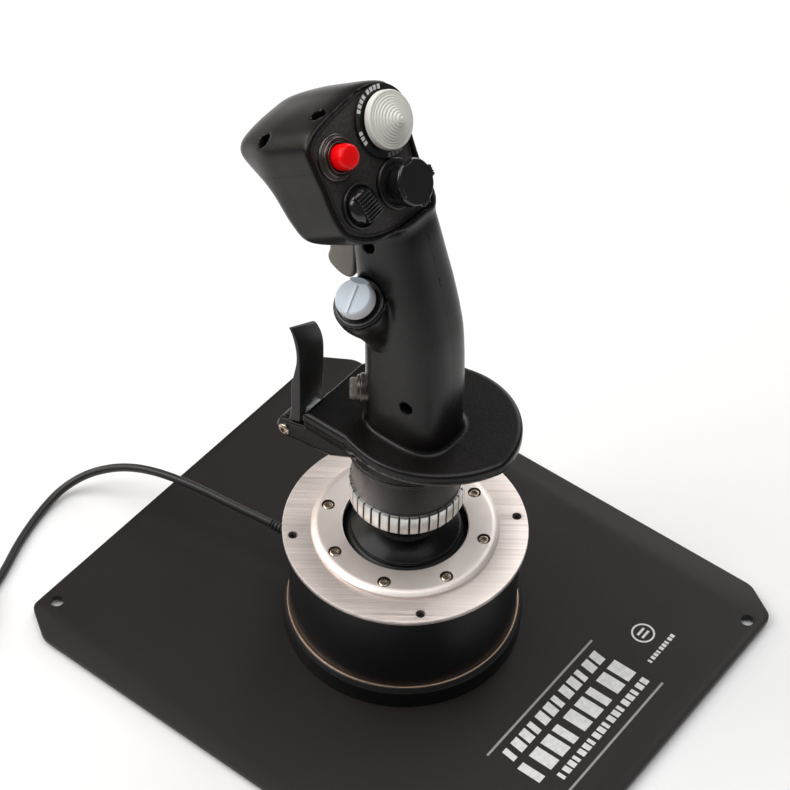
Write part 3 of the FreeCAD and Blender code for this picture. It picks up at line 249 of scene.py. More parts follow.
# Colour, roughness and whatever else differs from the shader's defaults.
LOOKS = {
    "plate_black": ((0.0165, 0.0138, 0.0128), 0.44, dict(spread=0.1, scale=18.0, grain=2600.0, bump=0.2,
                                                         specular=0.22)),
    "drum_black": ((0.0075, 0.0075, 0.0085), 0.36, dict(spread=0.1, scale=30.0, grain=2400.0, bump=0.14,
                                                        specular=0.35)),
    "foot_black": ((0.006, 0.0055, 0.0055), 0.34, dict(scale=40.0, grain=2400.0, bump=0.14)),
    # Copper metal for the foot's rolled top edge: a painted highlight line.
    "foot_edge_highlight": ((0.38, 0.27, 0.2), 0.3, dict(metallic=0.85, scale=120.0, bump=0.1)),
    "foot_rubber": ((0.02, 0.02, 0.02), 0.8, dict(scale=150.0, bump=0.4)),
    "screw_steel": ((0.56, 0.47, 0.38), 0.24, dict(metallic=1.0, scale=900.0, bump=0.08)),
    # Dark lining for the ring's screw counterbores: painted shade.
    "screw_well": ((0.035, 0.028, 0.022), 0.5, dict(metallic=0.3, scale=900.0, bump=0.1)),
    "screw_black": ((0.02, 0.02, 0.02), 0.35, dict(metallic=0.4, scale=900.0, bump=0.1)),
    "disc_brushed": ((0.86, 0.77, 0.72), 0.4, dict(metallic=0.78, spread=0.12, scale=260.0, grain=900.0,
                                                   bump=0.3, stretch=(30.0, 0.28, 1.0),
                                                   turn=math.radians(-53.0), rough_spread=0.14,
                                                   anisotropic=0.4)),
    "ring_satin": ((0.86, 0.78, 0.735), 0.42, dict(metallic=0.75, spread=0.04, scale=60.0, grain=3600.0,
                                                   bump=0.22, rough_spread=0.06)),
    "nut_aluminium": ((0.7, 0.69, 0.66), 0.33, dict(metallic=1.0, scale=420.0, bump=0.2,
                                                    stretch=(1.0, 1.0, 6.0))),
    # Painted shade for the grooves between the nut's aluminium ribs.
    "nut_groove_shade": ((0.1, 0.098, 0.095), 0.5, dict(metallic=0.6, scale=420.0, bump=0.2)),
    "gimbal_metal": ((0.55, 0.55, 0.56), 0.42, dict(metallic=1.0, scale=120.0, bump=0.2)),
    "bearing_steel": ((0.5, 0.5, 0.53), 0.25, dict(metallic=1.0, scale=300.0, bump=0.06)),
    "magnet": ((0.55, 0.55, 0.56), 0.2, dict(metallic=1.0, scale=300.0, bump=0.05)),
    "circuit_board": ((0.015, 0.11, 0.045), 0.45, dict(spread=0.3, scale=400.0, bump=0.15)),
    "boot_black": ((0.006, 0.0058, 0.006), 0.26, dict(scale=60.0, grain=1500.0, bump=0.05, specular=0.2)),
    "dome_black": ((0.008, 0.008, 0.008), 0.45, dict(scale=60.0, bump=0.1)),
    "grip_black": ((0.0065, 0.0055, 0.0052), 0.29, dict(spread=0.12, scale=45.0, grain=1900.0, bump=0.11,
                                                        rough_spread=0.06, specular=0.27)),
    "collar_black": ((0.008, 0.008, 0.008), 0.3, dict(scale=60.0, grain=1900.0, bump=0.12)),
    "panel_black": ((0.029, 0.025, 0.024), 0.5, dict(spread=0.5, scale=900.0, grain=3200.0, bump=0.5,
                                                     rough_spread=0.1)),
    "bezel_black": ((0.01, 0.01, 0.01), 0.32, dict(scale=200.0, bump=0.1)),
    "print_pale": ((0.68, 0.68, 0.66), 0.6, dict(scale=500.0, bump=0.1)),
    "print_grey": ((0.3, 0.29, 0.28), 0.55, dict(scale=500.0, bump=0.1)),
    "collar_steel": ((0.1, 0.085, 0.078), 0.26, dict(metallic=0.8, scale=300.0, bump=0.1)),
    "trim_grey": ((0.76, 0.745, 0.69), 0.45, dict(spread=0.04, scale=120.0, grain=1500.0, bump=0.1)),
    "button_red": ((0.97, 0.0025, 0.005), 0.3, dict(spread=0.05, scale=300.0, bump=0.06, specular=0.22)),
    "hat_black": ((0.009, 0.009, 0.009), 0.17, dict(scale=120.0, bump=0.04, coat=0.3)),
    "hat_pale": ((0.6, 0.68, 0.76), 0.4, dict(spread=0.04, scale=120.0, bump=0.08)),
    # Lighter copy of hat_pale: painted highlight on the side hat's raised rule.
    "hat_edge": ((0.74, 0.79, 0.85), 0.35, dict(spread=0.03, scale=120.0, bump=0.05)),
    "hat_shade": ((0.27, 0.33, 0.38), 0.4, dict(spread=0.05, scale=120.0, bump=0.08)),
    "hat_side": ((0.62, 0.61, 0.61), 0.4, dict(spread=0.06, scale=200.0, bump=0.08)),
    "taupe": ((0.17, 0.145, 0.127), 0.42, dict(spread=0.06, scale=120.0, bump=0.1)),
    "lever_black": ((0.013, 0.012, 0.012), 0.42, dict(scale=90.0, bump=0.14)),
    "plunger_grey": ((0.72, 0.75, 0.77), 0.4, dict(spread=0.05, scale=200.0, bump=0.1)),
    "switch_body": ((0.03, 0.03, 0.03), 0.5, dict(scale=150.0, bump=0.15)),
    "cable_black": ((0.014, 0.014, 0.014), 0.42, dict(scale=200.0, grain=2500.0, bump=0.2)),
}

MATERIALS = {name: shader(name, colour, roughness, **more)
             for name, (colour, roughness, more) in LOOKS.items()}


# ---------------------------------------------------------------- mesh helpers
SMOOTH = 32.0


def linked(name, data):
    obj = bpy.data.objects.new(name, data)
    bpy.context.scene.collection.objects.link(obj)
    return obj


def mesh_from(name, verts, faces):
    """A mesh from points in millimetres."""
    mesh = bpy.data.meshes.new(name)
    mesh.from_pydata([tuple(c * MM for c in v) for v in verts], [], [tuple(f) for f in faces])
    return mesh


def piece(name, verts, faces, body, material, slot, replaces=(), smooth_angle=SMOOTH):
    """A mesh riding on a body and standing for the CAD nodes it replaces."""
    mesh = mesh_from(name, verts, faces)
    finish_mesh(mesh, smooth_angle)
    return place(name, mesh, body, material, slot, replaces)


def finish_mesh(mesh, smooth_angle=SMOOTH):
    work = bmesh.new()
    work.from_mesh(mesh)
    bmesh.ops.remove_doubles(work, verts=work.verts, dist=2e-6)
    bmesh.ops.dissolve_degenerate(work, edges=work.edges, dist=1e-6)
    bmesh.ops.recalc_face_normals(work, faces=work.faces)
    work.to_mesh(mesh)
    work.free()
    mesh.shade_smooth()
    mesh.set_sharp_from_angle(angle=math.radians(smooth_angle))


def place(name, mesh, body, material, slot, replaces=()):
    obj = linked(name, mesh)
    if not mesh.materials:
        mesh.materials.append(MATERIALS[material])
    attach(obj, body)
    if replaces:
        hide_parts(*replaces)
    return obj


def rounded(profile, radius, steps=4, closed=True):
    """The profile with its corners as arcs of about that radius, less where a side is short."""
    made = []
    count = len(profile)
    for i, corner in enumerate(profile):
        r = radius[i] if isinstance(radius, (list, tuple)) else radius
        ends = not closed and i in (0, count - 1)
        if r <= 0 or ends:
            made.append(tuple(corner))
            continue
        p = Vector(corner)
        before, after = Vector(profile[i - 1]) - p, Vector(profile[(i + 1) % count]) - p
        if before.length < 1e-6 or after.length < 1e-6:
            made.append(tuple(corner))
            continue
        reach = min(r, 0.45 * before.length, 0.45 * after.length)
        a, b = p + before.normalized() * reach, p + after.normalized() * reach
        for k in range(steps + 1):
            t = k / steps
            made.append(tuple(a * (1 - t) ** 2 + p * 2 * t * (1 - t) + b * t ** 2))
    return made


def lathe_mesh(profile, segments=96, at=None):
    """Points and faces of a closed profile of (radius, height) turned round the Z of the matrix at."""
    at = at or Matrix.Identity(4)
    count = len(profile)
    verts, faces = [], []
    for s in range(segments):
        angle = 2 * math.pi * s / segments
        c, n = math.cos(angle), math.sin(angle)
        verts += [at @ Vector((max(r, 0.0) * c, max(r, 0.0) * n, h)) for r, h in profile]
    for s in range(segments):
        here, there = s * count, (s + 1) % segments * count
        for i in range(count):
            j = (i + 1) % count
            faces.append((here + i, there + i, there + j, here + j))
    return verts, faces


def lathe(name, profile, body, material, slot, replaces=(), at=None, segments=96, smooth_angle=SMOOTH):
    verts, faces = lathe_mesh(profile, segments, at)
    return piece(name, verts, faces, body, material, slot, replaces, smooth_angle)


def band_faces(count, rings, caps=True):
    """Quads between rings of count points, with a face over the first and the last ring."""
    faces = []
    for r in range(rings - 1):
        for i in range(count):
            j = (i + 1) % count
            faces.append((r * count + i, r * count + j, (r + 1) * count + j, (r + 1) * count + i))
    if caps:
        faces.append(tuple(reversed(range(count))))
        faces.append(tuple(range((rings - 1) * count, rings * count)))
    return faces


def bevel_rings(bevel, low_z, high_z, steps=3):
    """(inset, height) of the rings of a form whose two rims are rounded."""
    turns = [math.pi / 2 * k / steps for k in range(steps + 1)]
    low_rim = [(bevel * (1 - math.sin(t)), low_z + bevel * (1 - math.cos(t))) for t in turns]
    return low_rim + [(bevel * (1 - math.sin(t)), high_z - bevel * (1 - math.cos(t))) for t in turns[::-1]]


def prism_mesh(outline, low_z, high_z, at=None, bevel=0.0, steps=3):
    """A flat outline of (x, y) raised from low_z to high_z, with both rims rounded by insetting."""
    at = at or Matrix.Identity(4)
    rings = bevel_rings(bevel, low_z, high_z, steps) if bevel > 0 else [(0.0, low_z), (0.0, high_z)]
    verts = []
    for inset, z in rings:
        verts += [at @ Vector((px, py, z)) for px, py in inset_outline(outline, inset)]
    return verts, band_faces(len(outline), len(rings))


def area_of(outline):
    total = 0.0
    for (ax, ay), (bx, by) in zip(outline, outline[1:] + outline[:1]):
        total += ax * by - bx * ay
    return total / 2.0


def inset_outline(outline, inset):
    if inset == 0.0:
        return outline
    side = 1.0 if area_of(outline) > 0 else -1.0
    made = []
    count = len(outline)
    for i in range(count):
        p = Vector(outline[i])
        before, after = p - Vector(outline[i - 1]), Vector(outline[(i + 1) % count]) - p
        n1 = Vector((-before.y, before.x)).normalized()
        n2 = Vector((-after.y, after.x)).normalized()
        mean = n1 + n2
        mean = mean.normalized() if mean.length > 1e-6 else n1
        made.append(tuple(p + mean * side * inset / max(mean.dot(n1), 0.5)))
    return made


def prism(name, outline, low_z, high_z, body, material, slot, replaces=(), at=None, bevel=0.0, steps=3,
          smooth_angle=SMOOTH):
    verts, faces = prism_mesh(outline, low_z, high_z, at, bevel, steps)
    return piece(name, verts, faces, body, material, slot, replaces, smooth_angle)


def joined(parts):
    """Several (points, faces) as one."""
    verts, faces = [], []
    for more_verts, more_faces in parts:
        start = len(verts)
        verts += list(more_verts)
        faces += [tuple(i + start for i in f) for f in more_faces]
    return verts, faces


def arc(radius, degrees):
    angles = [math.radians(d) for d in degrees]
    return [(radius * math.cos(a), radius * math.sin(a)) for a in angles]


def circle(radius, count=48, centre=(0.0, 0.0)):
    return [(centre[0] + radius * math.cos(2 * math.pi * i / count),
             centre[1] + radius * math.sin(2 * math.pi * i / count)) for i in range(count)]


# Frame whose X runs along X, Y up and Z towards the pilot.
FRONT_FRAME = Matrix((X, Z, -Y)).transposed().to_4x4()
# Frame whose X runs along Y, Y up and Z along X: outlines are given as (y, z).
SIDE_FRAME = Matrix(((0, 0, 1, 0), (1, 0, 0, 0), (0, 1, 0, 0), (0, 0, 0, 1)))


def cut(obj, tools, smooth_angle=SMOOTH):
    """Takes the tools, given as (points, faces), out of the object's mesh."""
    verts, faces = joined(tools)
    mesh = mesh_from("tool", verts, faces)
    finish_mesh(mesh)
    tool = linked("tool", mesh)
    change = obj.modifiers.new("cut", "BOOLEAN")
    change.operation = "DIFFERENCE"
    change.solver = "EXACT"
    change.object = tool
    bpy.context.view_layer.update()
    graph = bpy.context.evaluated_depsgraph_get()
    done = bpy.data.meshes.new_from_object(obj.evaluated_get(graph))
    obj.modifiers.clear()
    obj.data = done
    bpy.data.objects.remove(tool)
    done.shade_smooth()
    done.set_sharp_from_angle(angle=math.radians(smooth_angle))
    return obj


def smooth_loop(points, times=8, closed=True):
    """Points along a Catmull-Rom curve through the given ones."""
    p = np.array(points, float)
    count = len(p)
    made = []
    spans = count if closed else count - 1
    for i in range(spans):
        if closed:
            a, b, c, d = p[(i - 1) % count], p[i], p[(i + 1) % count], p[(i + 2) % count]
        else:
            a, b, c, d = p[max(i - 1, 0)], p[i], p[i + 1], p[min(i + 2, count - 1)]
        for k in range(times):
            t = k / times
            made.append(0.5 * (2 * b + (c - a) * t + (2 * a - 5 * b + 4 * c - d) * t ** 2
                               + (3 * b - a - 3 * c + d) * t ** 3))
    if not closed:
        made.append(p[-1])
    return np.array(made)


# ---------------------------------------------------------------- grip: one smooth form, split at its seams
def segment_distance(px, py, outline):
    """Signed distance to a closed outline, negative inside."""
    best = np.full(px.shape, 1e9, np.float32)
    inside = np.zeros(px.shape, bool)
    count = len(outline)
    for i in range(count):
        ax, ay = outline[i]
        bx, by = outline[(i + 1) % count]
        ex, ey = bx - ax, by - ay
        along = np.clip(((px - ax) * ex + (py - ay) * ey) / (ex * ex + ey * ey + 1e-12), 0, 1)
        best = np.minimum(best, (px - ax - ex * along) ** 2 + (py - ay - ey * along) ** 2)
        if ay != by:
            crossing = (py < ay) != (py < by)
            inside ^= crossing & (px < (bx - ax) * (py - ay) / (by - ay) + ax)
    return np.sqrt(best) * np.where(inside, -1.0, 1.0)


class OutlineField:
    """Signed distance to an outline, looked up in a fine grid."""

    def __init__(self, outline, margin=14.0, step=0.4):
        outline = np.array(outline, float)
        self.step = step
        self.low = outline.min(0) - margin
        size = np.ceil((outline.max(0) + margin - self.low) / step).astype(int) + 1
        px, py = np.meshgrid(self.low[0] + step * np.arange(size[0]), self.low[1] + step * np.arange(size[1]),
                             indexing="ij")
        self.grid = segment_distance(px, py, outline).astype(np.float32)

    def __call__(self, a, b):
        u = np.clip((a - self.low[0]) / self.step, 0, self.grid.shape[0] - 1.001)
        v = np.clip((b - self.low[1]) / self.step, 0, self.grid.shape[1] - 1.001)
        i, j = u.astype(np.int32), v.astype(np.int32)
        u, v = u - i, v - j
        g = self.grid
        return ((g[i, j] * (1 - u) + g[i + 1, j] * u) * (1 - v)
                + (g[i, j + 1] * (1 - u) + g[i + 1, j + 1] * u) * v)


def blend_min(a, b, k):
    h = np.clip(0.5 + 0.5 * (b - a) / k, 0, 1)
    return b + (a - b) * h - k * h * (1 - h)


def blend_max(a, b, k):
    return -blend_min(-a, -b, k)


def along_axis(p, origin, axis):
    """Distance from an axis and height along it."""
    dx, dy, dz = (p[i] - origin[i] for i in range(3))
    h = dx * axis[0] + dy * axis[1] + dz * axis[2]
    return np.sqrt(np.maximum(dx * dx + dy * dy + dz * dz - h * h, 0)), h


def cone_field(p, start, end, r_start, r_end):
    """Rounded cone between two points."""
    start, end = np.array(start, float), np.array(end, float)
    d = end - start
    dx, dy, dz = (p[i] - start[i] for i in range(3))
    t = np.clip((dx * d[0] + dy * d[1] + dz * d[2]) / (d @ d), 0, 1)
    gap = np.sqrt((dx - d[0] * t) ** 2 + (dy - d[1] * t) ** 2 + (dz - d[2] * t) ** 2)
    return gap - (r_start + (r_end - r_start) * t)


def rod_field(p, origin, axis, radius, low_h, high_h, k=0.0):
    r, h = along_axis(p, origin, axis)
    ends = np.maximum(low_h - h, h - high_h)
    return blend_max(r - radius, ends, k) if k else np.maximum(r - radius, ends)


def box_field(p, x, y, z):
    return np.maximum.reduce([x[0] - p[0], p[0] - x[1], y[0] - p[1], p[1] - y[1], z[0] - p[2], p[2] - z[1]])


def arc_through(a, b, c, steps):
    """Points on the circle through three points, from a to just before c."""
    (ax, ay), (bx, by), (cx, cy) = a, b, c
    d = 2 * (ax * (by - cy) + bx * (cy - ay) + cx * (ay - by))
    sa, sb, sc = ax * ax + ay * ay, bx * bx + by * by, cx * cx + cy * cy
    ux = (sa * (by - cy) + sb * (cy - ay) + sc * (ay - by)) / d
    uy = (sa * (cx - bx) + sb * (ax - cx) + sc * (bx - ax)) / d
    radius = math.hypot(ax - ux, ay - uy)
    start, end = math.atan2(ay - uy, ax - ux), math.atan2(cy - uy, cx - ux)
    middle = math.atan2(by - uy, bx - ux)
    forward = (middle - start) % (2 * math.pi) < (end - start) % (2 * math.pi)
    sweep = (end - start) % (2 * math.pi) if forward else -((start - end) % (2 * math.pi))
    angles = [start + sweep * i / steps for i in range(steps)]
    return [(ux + radius * math.cos(a), uy + radius * math.sin(a)) for a in angles]


def rest_outline():
    made = arc_through((39.2, -2.0), (32.0, -34.6), (3.0, -47.0), 30)
    made += arc_through((3.0, -47.0), (-16.4, -34.2), (-25.4, -21.0), 16)
    made += arc_through((-25.4, -21.0), (-29.4, -2.5), (-26.0, 14.0), 16)
    made += [(-26.0, 14.0), (-26.0, 35.8), (12.0, 35.8)]
    made += arc_through((12.0, 35.8), (30.0, 21.6), (39.2, -2.0), 20)
    return made


class GripForm:
    """Signed distance of the whole grip: column, head, hand rest, funnel and every opening."""

    def __init__(self):
        self.panel = OutlineField(smooth_loop(PANEL_OUTLINE))
        self.profile = OutlineField(smooth_loop(HEAD_SIDE + [(20.0, 292.0), (4.0, 268.0), (-4.0, 252.0)], 6))
        self.rest = OutlineField(rest_outline())
        self.arm = OutlineField(ARM_SIDE)
        self.sections = smooth_loop(COLUMN, 8, closed=False)
        self.taper = smooth_loop(HEAD_TAPER, 8, closed=False)

    @staticmethod
    def on_panel(p):
        """Place across the panel, up it, and out from it."""
        d = [p[i] - PANEL_ORIGIN[i] for i in range(3)]
        u = d[1] * PANEL_U[1] + d[2] * PANEL_U[2]
        n = d[1] * PANEL_N[1] + d[2] * PANEL_N[2]
        return p[0], u, n

    def column(self, p):
        z = p[2]
        cy = np.interp(z, self.sections[:, 0], self.sections[:, 1])
        hx = np.interp(z, self.sections[:, 0], self.sections[:, 2])
        hy = np.interp(z, self.sections[:, 0], self.sections[:, 3])
        hx = hx * np.interp(z, (132.0, 215.0, 254.0), (0.9, 0.9, 0.79))
        a, b = np.abs(p[0]) / hx, np.abs(p[1] - cy) / (hy * 0.9)
        k = np.cbrt(a ** 3 + b ** 3) + 1e-6
        slope = np.sqrt((a * a / hx) ** 2 + (b * b / hy) ** 2) / k ** 2 + 1e-3
        side = np.maximum((k - 1) / slope, -14.0)
        flat = blend_max(side, self.on_panel(p)[2] + 0.2, 2.5)
        return np.maximum(flat, np.maximum(REST_LOW + 2.0 - z, z - 251.0))

    def head(self, p):
        x, u, n = self.on_panel(p)
        width = np.interp(-n, self.taper[:, 0], self.taper[:, 1])
        outline = self.panel(HEAD_MIDDLE_X + (x - HEAD_MIDDLE_X) / width, u)
        side = self.profile(p[1], p[2])
        form = blend_max(outline, side, HEAD_EDGE_BLEND)
        return blend_max(form, n, 1.2)

    def hand_rest(self, p):
        slab = np.maximum(REST_LOW - p[2], p[2] - REST_HIGH)
        edge = self.rest(p[0], p[1])
        lower_edge = edge + np.where(p[2] < REST_LOW + 2.3, 0.55, 0.0)
        plate = blend_max(lower_edge, slab, 2.2)
        hub = rod_field(p, (0, 0, 0), (0, 0, 1), HUB_R, COLLAR_HIGH + 1.4, REST_LOW + 1.0)
        arm = blend_max(self.arm(p[1], p[2]), np.abs(p[0] + 17.9) - 8.1, 1.6)
        return blend_min(plate, blend_min(hub, arm, 2.0), 2.4)

    @staticmethod
    def funnel(p):
        seat = SIDE_HAT_FACE - SIDE_HAT_AXIS * SIDE_HAT_SEAT
        barrel = cone_field(p, seat + SIDE_HAT_AXIS * 4.0, seat - SIDE_HAT_AXIS * 6.0, 11.0, 10.6)
        tail = cone_field(p, seat - SIDE_HAT_AXIS * 6.0, (-9.3, 7.6, 189.0), 10.6, 8.8)
        h = along_axis(p, seat, SIDE_HAT_AXIS)[1]
        return blend_max(blend_min(barrel, tail, 4.0), h, 0.7)

    def solid(self, p):
        body = blend_min(self.column(p), self.head(p), HEAD_BLEND)
        body = blend_min(body, self.funnel(p), FUNNEL_BLEND)
        return blend_min(body, self.hand_rest(p), REST_BLEND)

    def openings(self, p):
        x, u, n = self.on_panel(p)
        recess = np.maximum(self.panel(x, u) + RIM_WIDTH, -3.05 - n)
        side_seat = SIDE_HAT_FACE - SIDE_HAT_AXIS * (SIDE_HAT_SEAT + 3.4)
        cuts = [recess]
        for pos in (TRIM_POS, LOWER_HAT_POS, UPPER_HAT_POS):
            cuts.append(rod_field(p, panel_point(pos), PANEL_N, 8.5, -10.6, 2.0))
        cuts.append(rod_field(p, panel_point(RED_POS), PANEL_N, 5.8, -9.5, 2.0))
        cuts.append(rod_field(p, side_seat, SIDE_HAT_AXIS, 8.5, -5.2, 3.4))
        cuts.append(rod_field(p, side_seat, SIDE_HAT_AXIS, 10.7, 3.4, 30.0))
        cuts.append(rod_field(p, SIDE_BUTTON_POS, SIDE_BUTTON_AXIS, 6.7, -7.0, 30.0))
        for slot in (TRIGGER_SLOT, LEVER_SLOT, PLUNGER_POCKET):
            cuts.append(box_field(p, *slot))
        for base, axis in grip_screw_seats():
            cuts.append(rod_field(p, base, axis, SCREW_WELL_R, -SCREW_WELL_DEPTH, 12.0))
        return np.minimum.reduce(cuts)

    def __call__(self, p):
        return blend_max(self.solid(p), -self.openings(p), 0.5)


def grip_screw_seats():
    top, nose = unit((-0.35, 0.25, 0.90)), unit((-0.75, 0.25, 0.61))
    return [
        (Vector((-14.8, -9.2, 158.5)), Vector((-1, 0, 0))),
        (Vector((-13.6, 12.6, 234.0)), Vector((-1, 0, 0))),
        (Vector((-19.5, 32.5, 292.2)), top),
        (Vector((-30.0, 49.6, 277.6)), nose),
    ]


CORNERS = [(i, j, k) for i in (0, 1) for j in (0, 1) for k in (0, 1)]
CUBE_EDGES = [(a, b) for a in CORNERS for b in CORNERS
              if a < b and sum(abs(p - q) for p, q in zip(a, b)) == 1]


def surface_net(values):
    """Points, in grid steps, and quads of the zero surface of a grid."""
    inside = values < 0
    shape = tuple(s - 1 for s in values.shape)
    total = np.zeros(shape, np.int8)
    for c in CORNERS:
        total += inside[tuple(slice(c[i], c[i] + shape[i]) for i in range(3))]
    active = (total > 0) & (total < 8)
    cells = np.argwhere(active)
    number = np.full(shape, -1, np.int32)
    number[active] = np.arange(len(cells))
    place_sum, hits = np.zeros((len(cells), 3)), np.zeros(len(cells))
    for a, b in CUBE_EDGES:
        va = values[tuple((cells + a).T)]
        vb = values[tuple((cells + b).T)]
        crossed = (va < 0) != (vb < 0)
        t = np.where(crossed, va / np.where(crossed, va - vb, 1), 0)[:, None]
        place_sum += crossed[:, None] * (np.array(a) + (np.array(b) - np.array(a)) * t)
        hits += crossed
    verts = cells + place_sum / hits[:, None]
    quads = []
    for axis in range(3):
        b, c = (axis + 1) % 3, (axis + 2) % 3
        first = [slice(None)] * 3
        second = [slice(None)] * 3
        first[axis], second[axis] = slice(0, -1), slice(1, None)
        start, end = inside[tuple(first)], inside[tuple(second)]
        edges = np.argwhere(start != end)
        keep = (edges[:, b] > 0) & (edges[:, c] > 0) & (edges[:, b] < shape[b]) & (edges[:, c] < shape[c])
        edges = edges[keep]
        flip = start[tuple(edges.T)]
        ring = []
        for db, dc in ((-1, -1), (0, -1), (0, 0), (-1, 0)):
            cell = edges.copy()
            cell[:, b] += db
            cell[:, c] += dc
            ring.append(number[tuple(cell.T)])
        ring = np.stack(ring, 1)
        ring[~flip] = ring[~flip][:, ::-1]
        quads.append(ring)
    return verts, np.concatenate(quads)


def slope_of(field, points, here):
    return np.stack([field((points + np.eye(3)[i] * 0.05).T) - here for i in range(3)], 1) / 0.05


def settle(field, points, step, share):
    """Moves points towards the field's zero surface by a share of a Newton step, in place."""
    here = field(points.T)
    slope = slope_of(field, points, here)
    length = np.maximum(np.linalg.norm(slope, axis=1), 0.3)[:, None]
    points += np.clip(-slope / length ** 2 * here[:, None] * share, -0.3 * step, 0.3 * step)


def form_piece(name, form, plane, low_corner, high_corner, step, body, material, slot, replaces, turn=None):
    """Meshes a signed-distance form on a grid that turn may tilt, then settles the points on its surface."""
    turn = np.array(turn or Matrix.Identity(3), float)

    def field(p):
        return np.maximum(form(p), plane(p))

    axes = [np.arange(low_corner[i], high_corner[i] + step, step) for i in range(3)]
    values = np.empty([len(a) for a in axes], np.float32)
    for k in range(0, len(axes[2]), 12):
        grid = np.meshgrid(axes[0], axes[1], axes[2][k:k + 12], indexing="ij")
        world = [sum(turn[i][j] * grid[j] for j in range(3)).astype(np.float32) for i in range(3)]
        values[:, :, k:k + 12] = field(world)
    verts, quads = surface_net(values)
    points = (verts * step + np.array([a[0] for a in axes])) @ turn.T
    for _ in range(3):
        settle(field, points, step, 0.8)
    reach = SEAM_REACH * step
    edge = (np.abs(form(points.T)) < reach) & (np.abs(plane(points.T)) < reach)
    seam = points[edge]
    for _ in range(4):
        for part in (form, plane):
            settle(part, seam, step, 1.0)
    points[edge] = seam
    mesh = bpy.data.meshes.new(name)
    mesh.from_pydata((points * MM).tolist(), [], quads.tolist())
    mesh.validate()
    mesh.shade_smooth()
    mesh.set_sharp_from_angle(angle=math.radians(50))
    return place(name, mesh, body, material, slot, replaces)


def build_grip():
    form = GripForm()
    step = GRIP_STEP
    gap = SEAM_GAP

    def above(p):
        return (p[1] - PANEL_ORIGIN[1]) * PANEL_U[1] + (p[2] - PANEL_ORIGIN[2]) * PANEL_U[2] - SEAM_U

    def left(p):
        return np.maximum(p[0] + gap, above(p) + gap)

    def right(p):
        return np.maximum(gap - p[0], above(p) + gap)

    def cover(p):
        return gap - above(p)

    form_piece("grip_shell_left", form, left, (-41.0, -50.0, 111.0), (1.5, 68.0, 292.0), step, "stick",
               "grip_black", "grip_black", ["grip_left"])
    form_piece("grip_shell_right", form, right, (-1.5, -50.0, 111.0), (42.0, 50.0, 292.0), step, "stick",
               "grip_black", "grip_black", ["grip_right"])
    tilt = Matrix((X, PANEL_U, PANEL_N)).transposed()
    centre = tilt.transposed() @ PANEL_ORIGIN
    form_piece("grip_head_cover", form, cover, (-42.0, centre.y - 1.5, centre.z - 74.0),
               (20.0, centre.y + 20.0, centre.z + 1.5), step, "stick", "grip_black", "grip_black",
               ["head_cover"], tilt)
    sunk = [basis(base - axis * SCREW_WELL_DEPTH, axis) for base, axis in grip_screw_seats()]
    screw_set("grip_screws_sunk", sunk, 2.3, 1.4, "stick", "screw_black", "screw_steel", ["grip_screws"])


# ---------------------------------------------------------------- cable
def cable_points():
    """Route, coil turn by turn, and tail, as one run of control points in millimetres."""
    points = list(CABLE_ROUTE)
    angle = -math.pi / 2
    cx, cy = COIL_CENTRE
    radii = []
    for layer in range(COIL_LAYERS):
        radii += [(r, layer) for r in (COIL_RADII if layer % 2 == 0 else COIL_RADII[::-1])]
    total = len(radii)
    steps = int((total + 0.25) * COIL_STEPS)
    for i in range(steps + 1):
        turns = i / COIL_STEPS
        index = min(int(turns), total - 1)
        share = min(turns - index, 1.0)
        after = min(index + 1, total - 1)
        ease = max(0.0, (share - 0.72) / 0.28)
        ease = ease * ease * (3 - 2 * ease)
        radius = radii[index][0] + (radii[after][0] - radii[index][0]) * ease
        layer = radii[index][1] + (radii[after][1] - radii[index][1]) * ease
        a = angle - 2 * math.pi * turns
        points.append((cx + radius * math.cos(a), cy + radius * math.sin(a), CABLE_R + 2 * CABLE_R * layer))
    return points + TAIL_ROUTE


def build_cable():
    curve = bpy.data.curves.new("cable", "CURVE")
    curve.dimensions = "3D"
    points = cable_points()
    spline = curve.splines.new("NURBS")
    spline.points.add(len(points) - 1)
    for held, p in zip(spline.points, points):
        held.co = (p[0] * MM, p[1] * MM, p[2] * MM, 1.0)
    spline.order_u = 3
    spline.use_endpoint_u = True
    spline.resolution_u = 6
    curve.bevel_depth = CABLE_R * MM
    curve.bevel_resolution = 5
    curve.use_fill_caps = True
    curve.materials.append(MATERIALS["cable_black"])
    cable = linked("cable", curve)
    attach(cable, "base")
    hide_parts("cable_run", "cable_coil")
    return cable


def cable_tie():
    """Strap that binds the coil on the side away from the plug."""
    cx, cy = COIL_CENTRE
    inner, outer, top = min(COIL_RADII) - CABLE_R, max(COIL_RADII) + CABLE_R, 2 * CABLE_R * COIL_LAYERS
    loop = rounded([(inner - 0.7, 0.05), (outer + 0.7, 0.05), (outer + 0.7, top + 0.7),
                    (inner - 0.7, top + 0.7)], 2.2, 5)
    hole = rounded([(inner - 0.1, 0.25), (outer + 0.1, 0.25), (outer + 0.1, top + 0.1),
                    (inner - 0.1, top + 0.1)], 1.8, 5)
    verts, faces = [], []
    count = len(loop)
    turn = Matrix.Translation((cx, cy, 0)) @ Matrix.Rotation(math.radians(200), 4, "Z")
    for side in (-4.0, 4.0):
        verts += [turn @ Vector((r, side, h)) for r, h in loop]
        verts += [turn @ Vector((r, side, h)) for r, h in hole]
    for i in range(count):
        j = (i + 1) % count
        faces.append((i, j, 2 * count + j, 2 * count + i))
        faces.append((count + i, count + j, 3 * count + j, 3 * count + i))
        faces.append((i, j, count + j, count + i))
        faces.append((2 * count + i, 2 * count + j, 3 * count + j, 3 * count + i))
    return piece("cable_tie", verts, faces, "base", "foot_rubber", "cable_black")


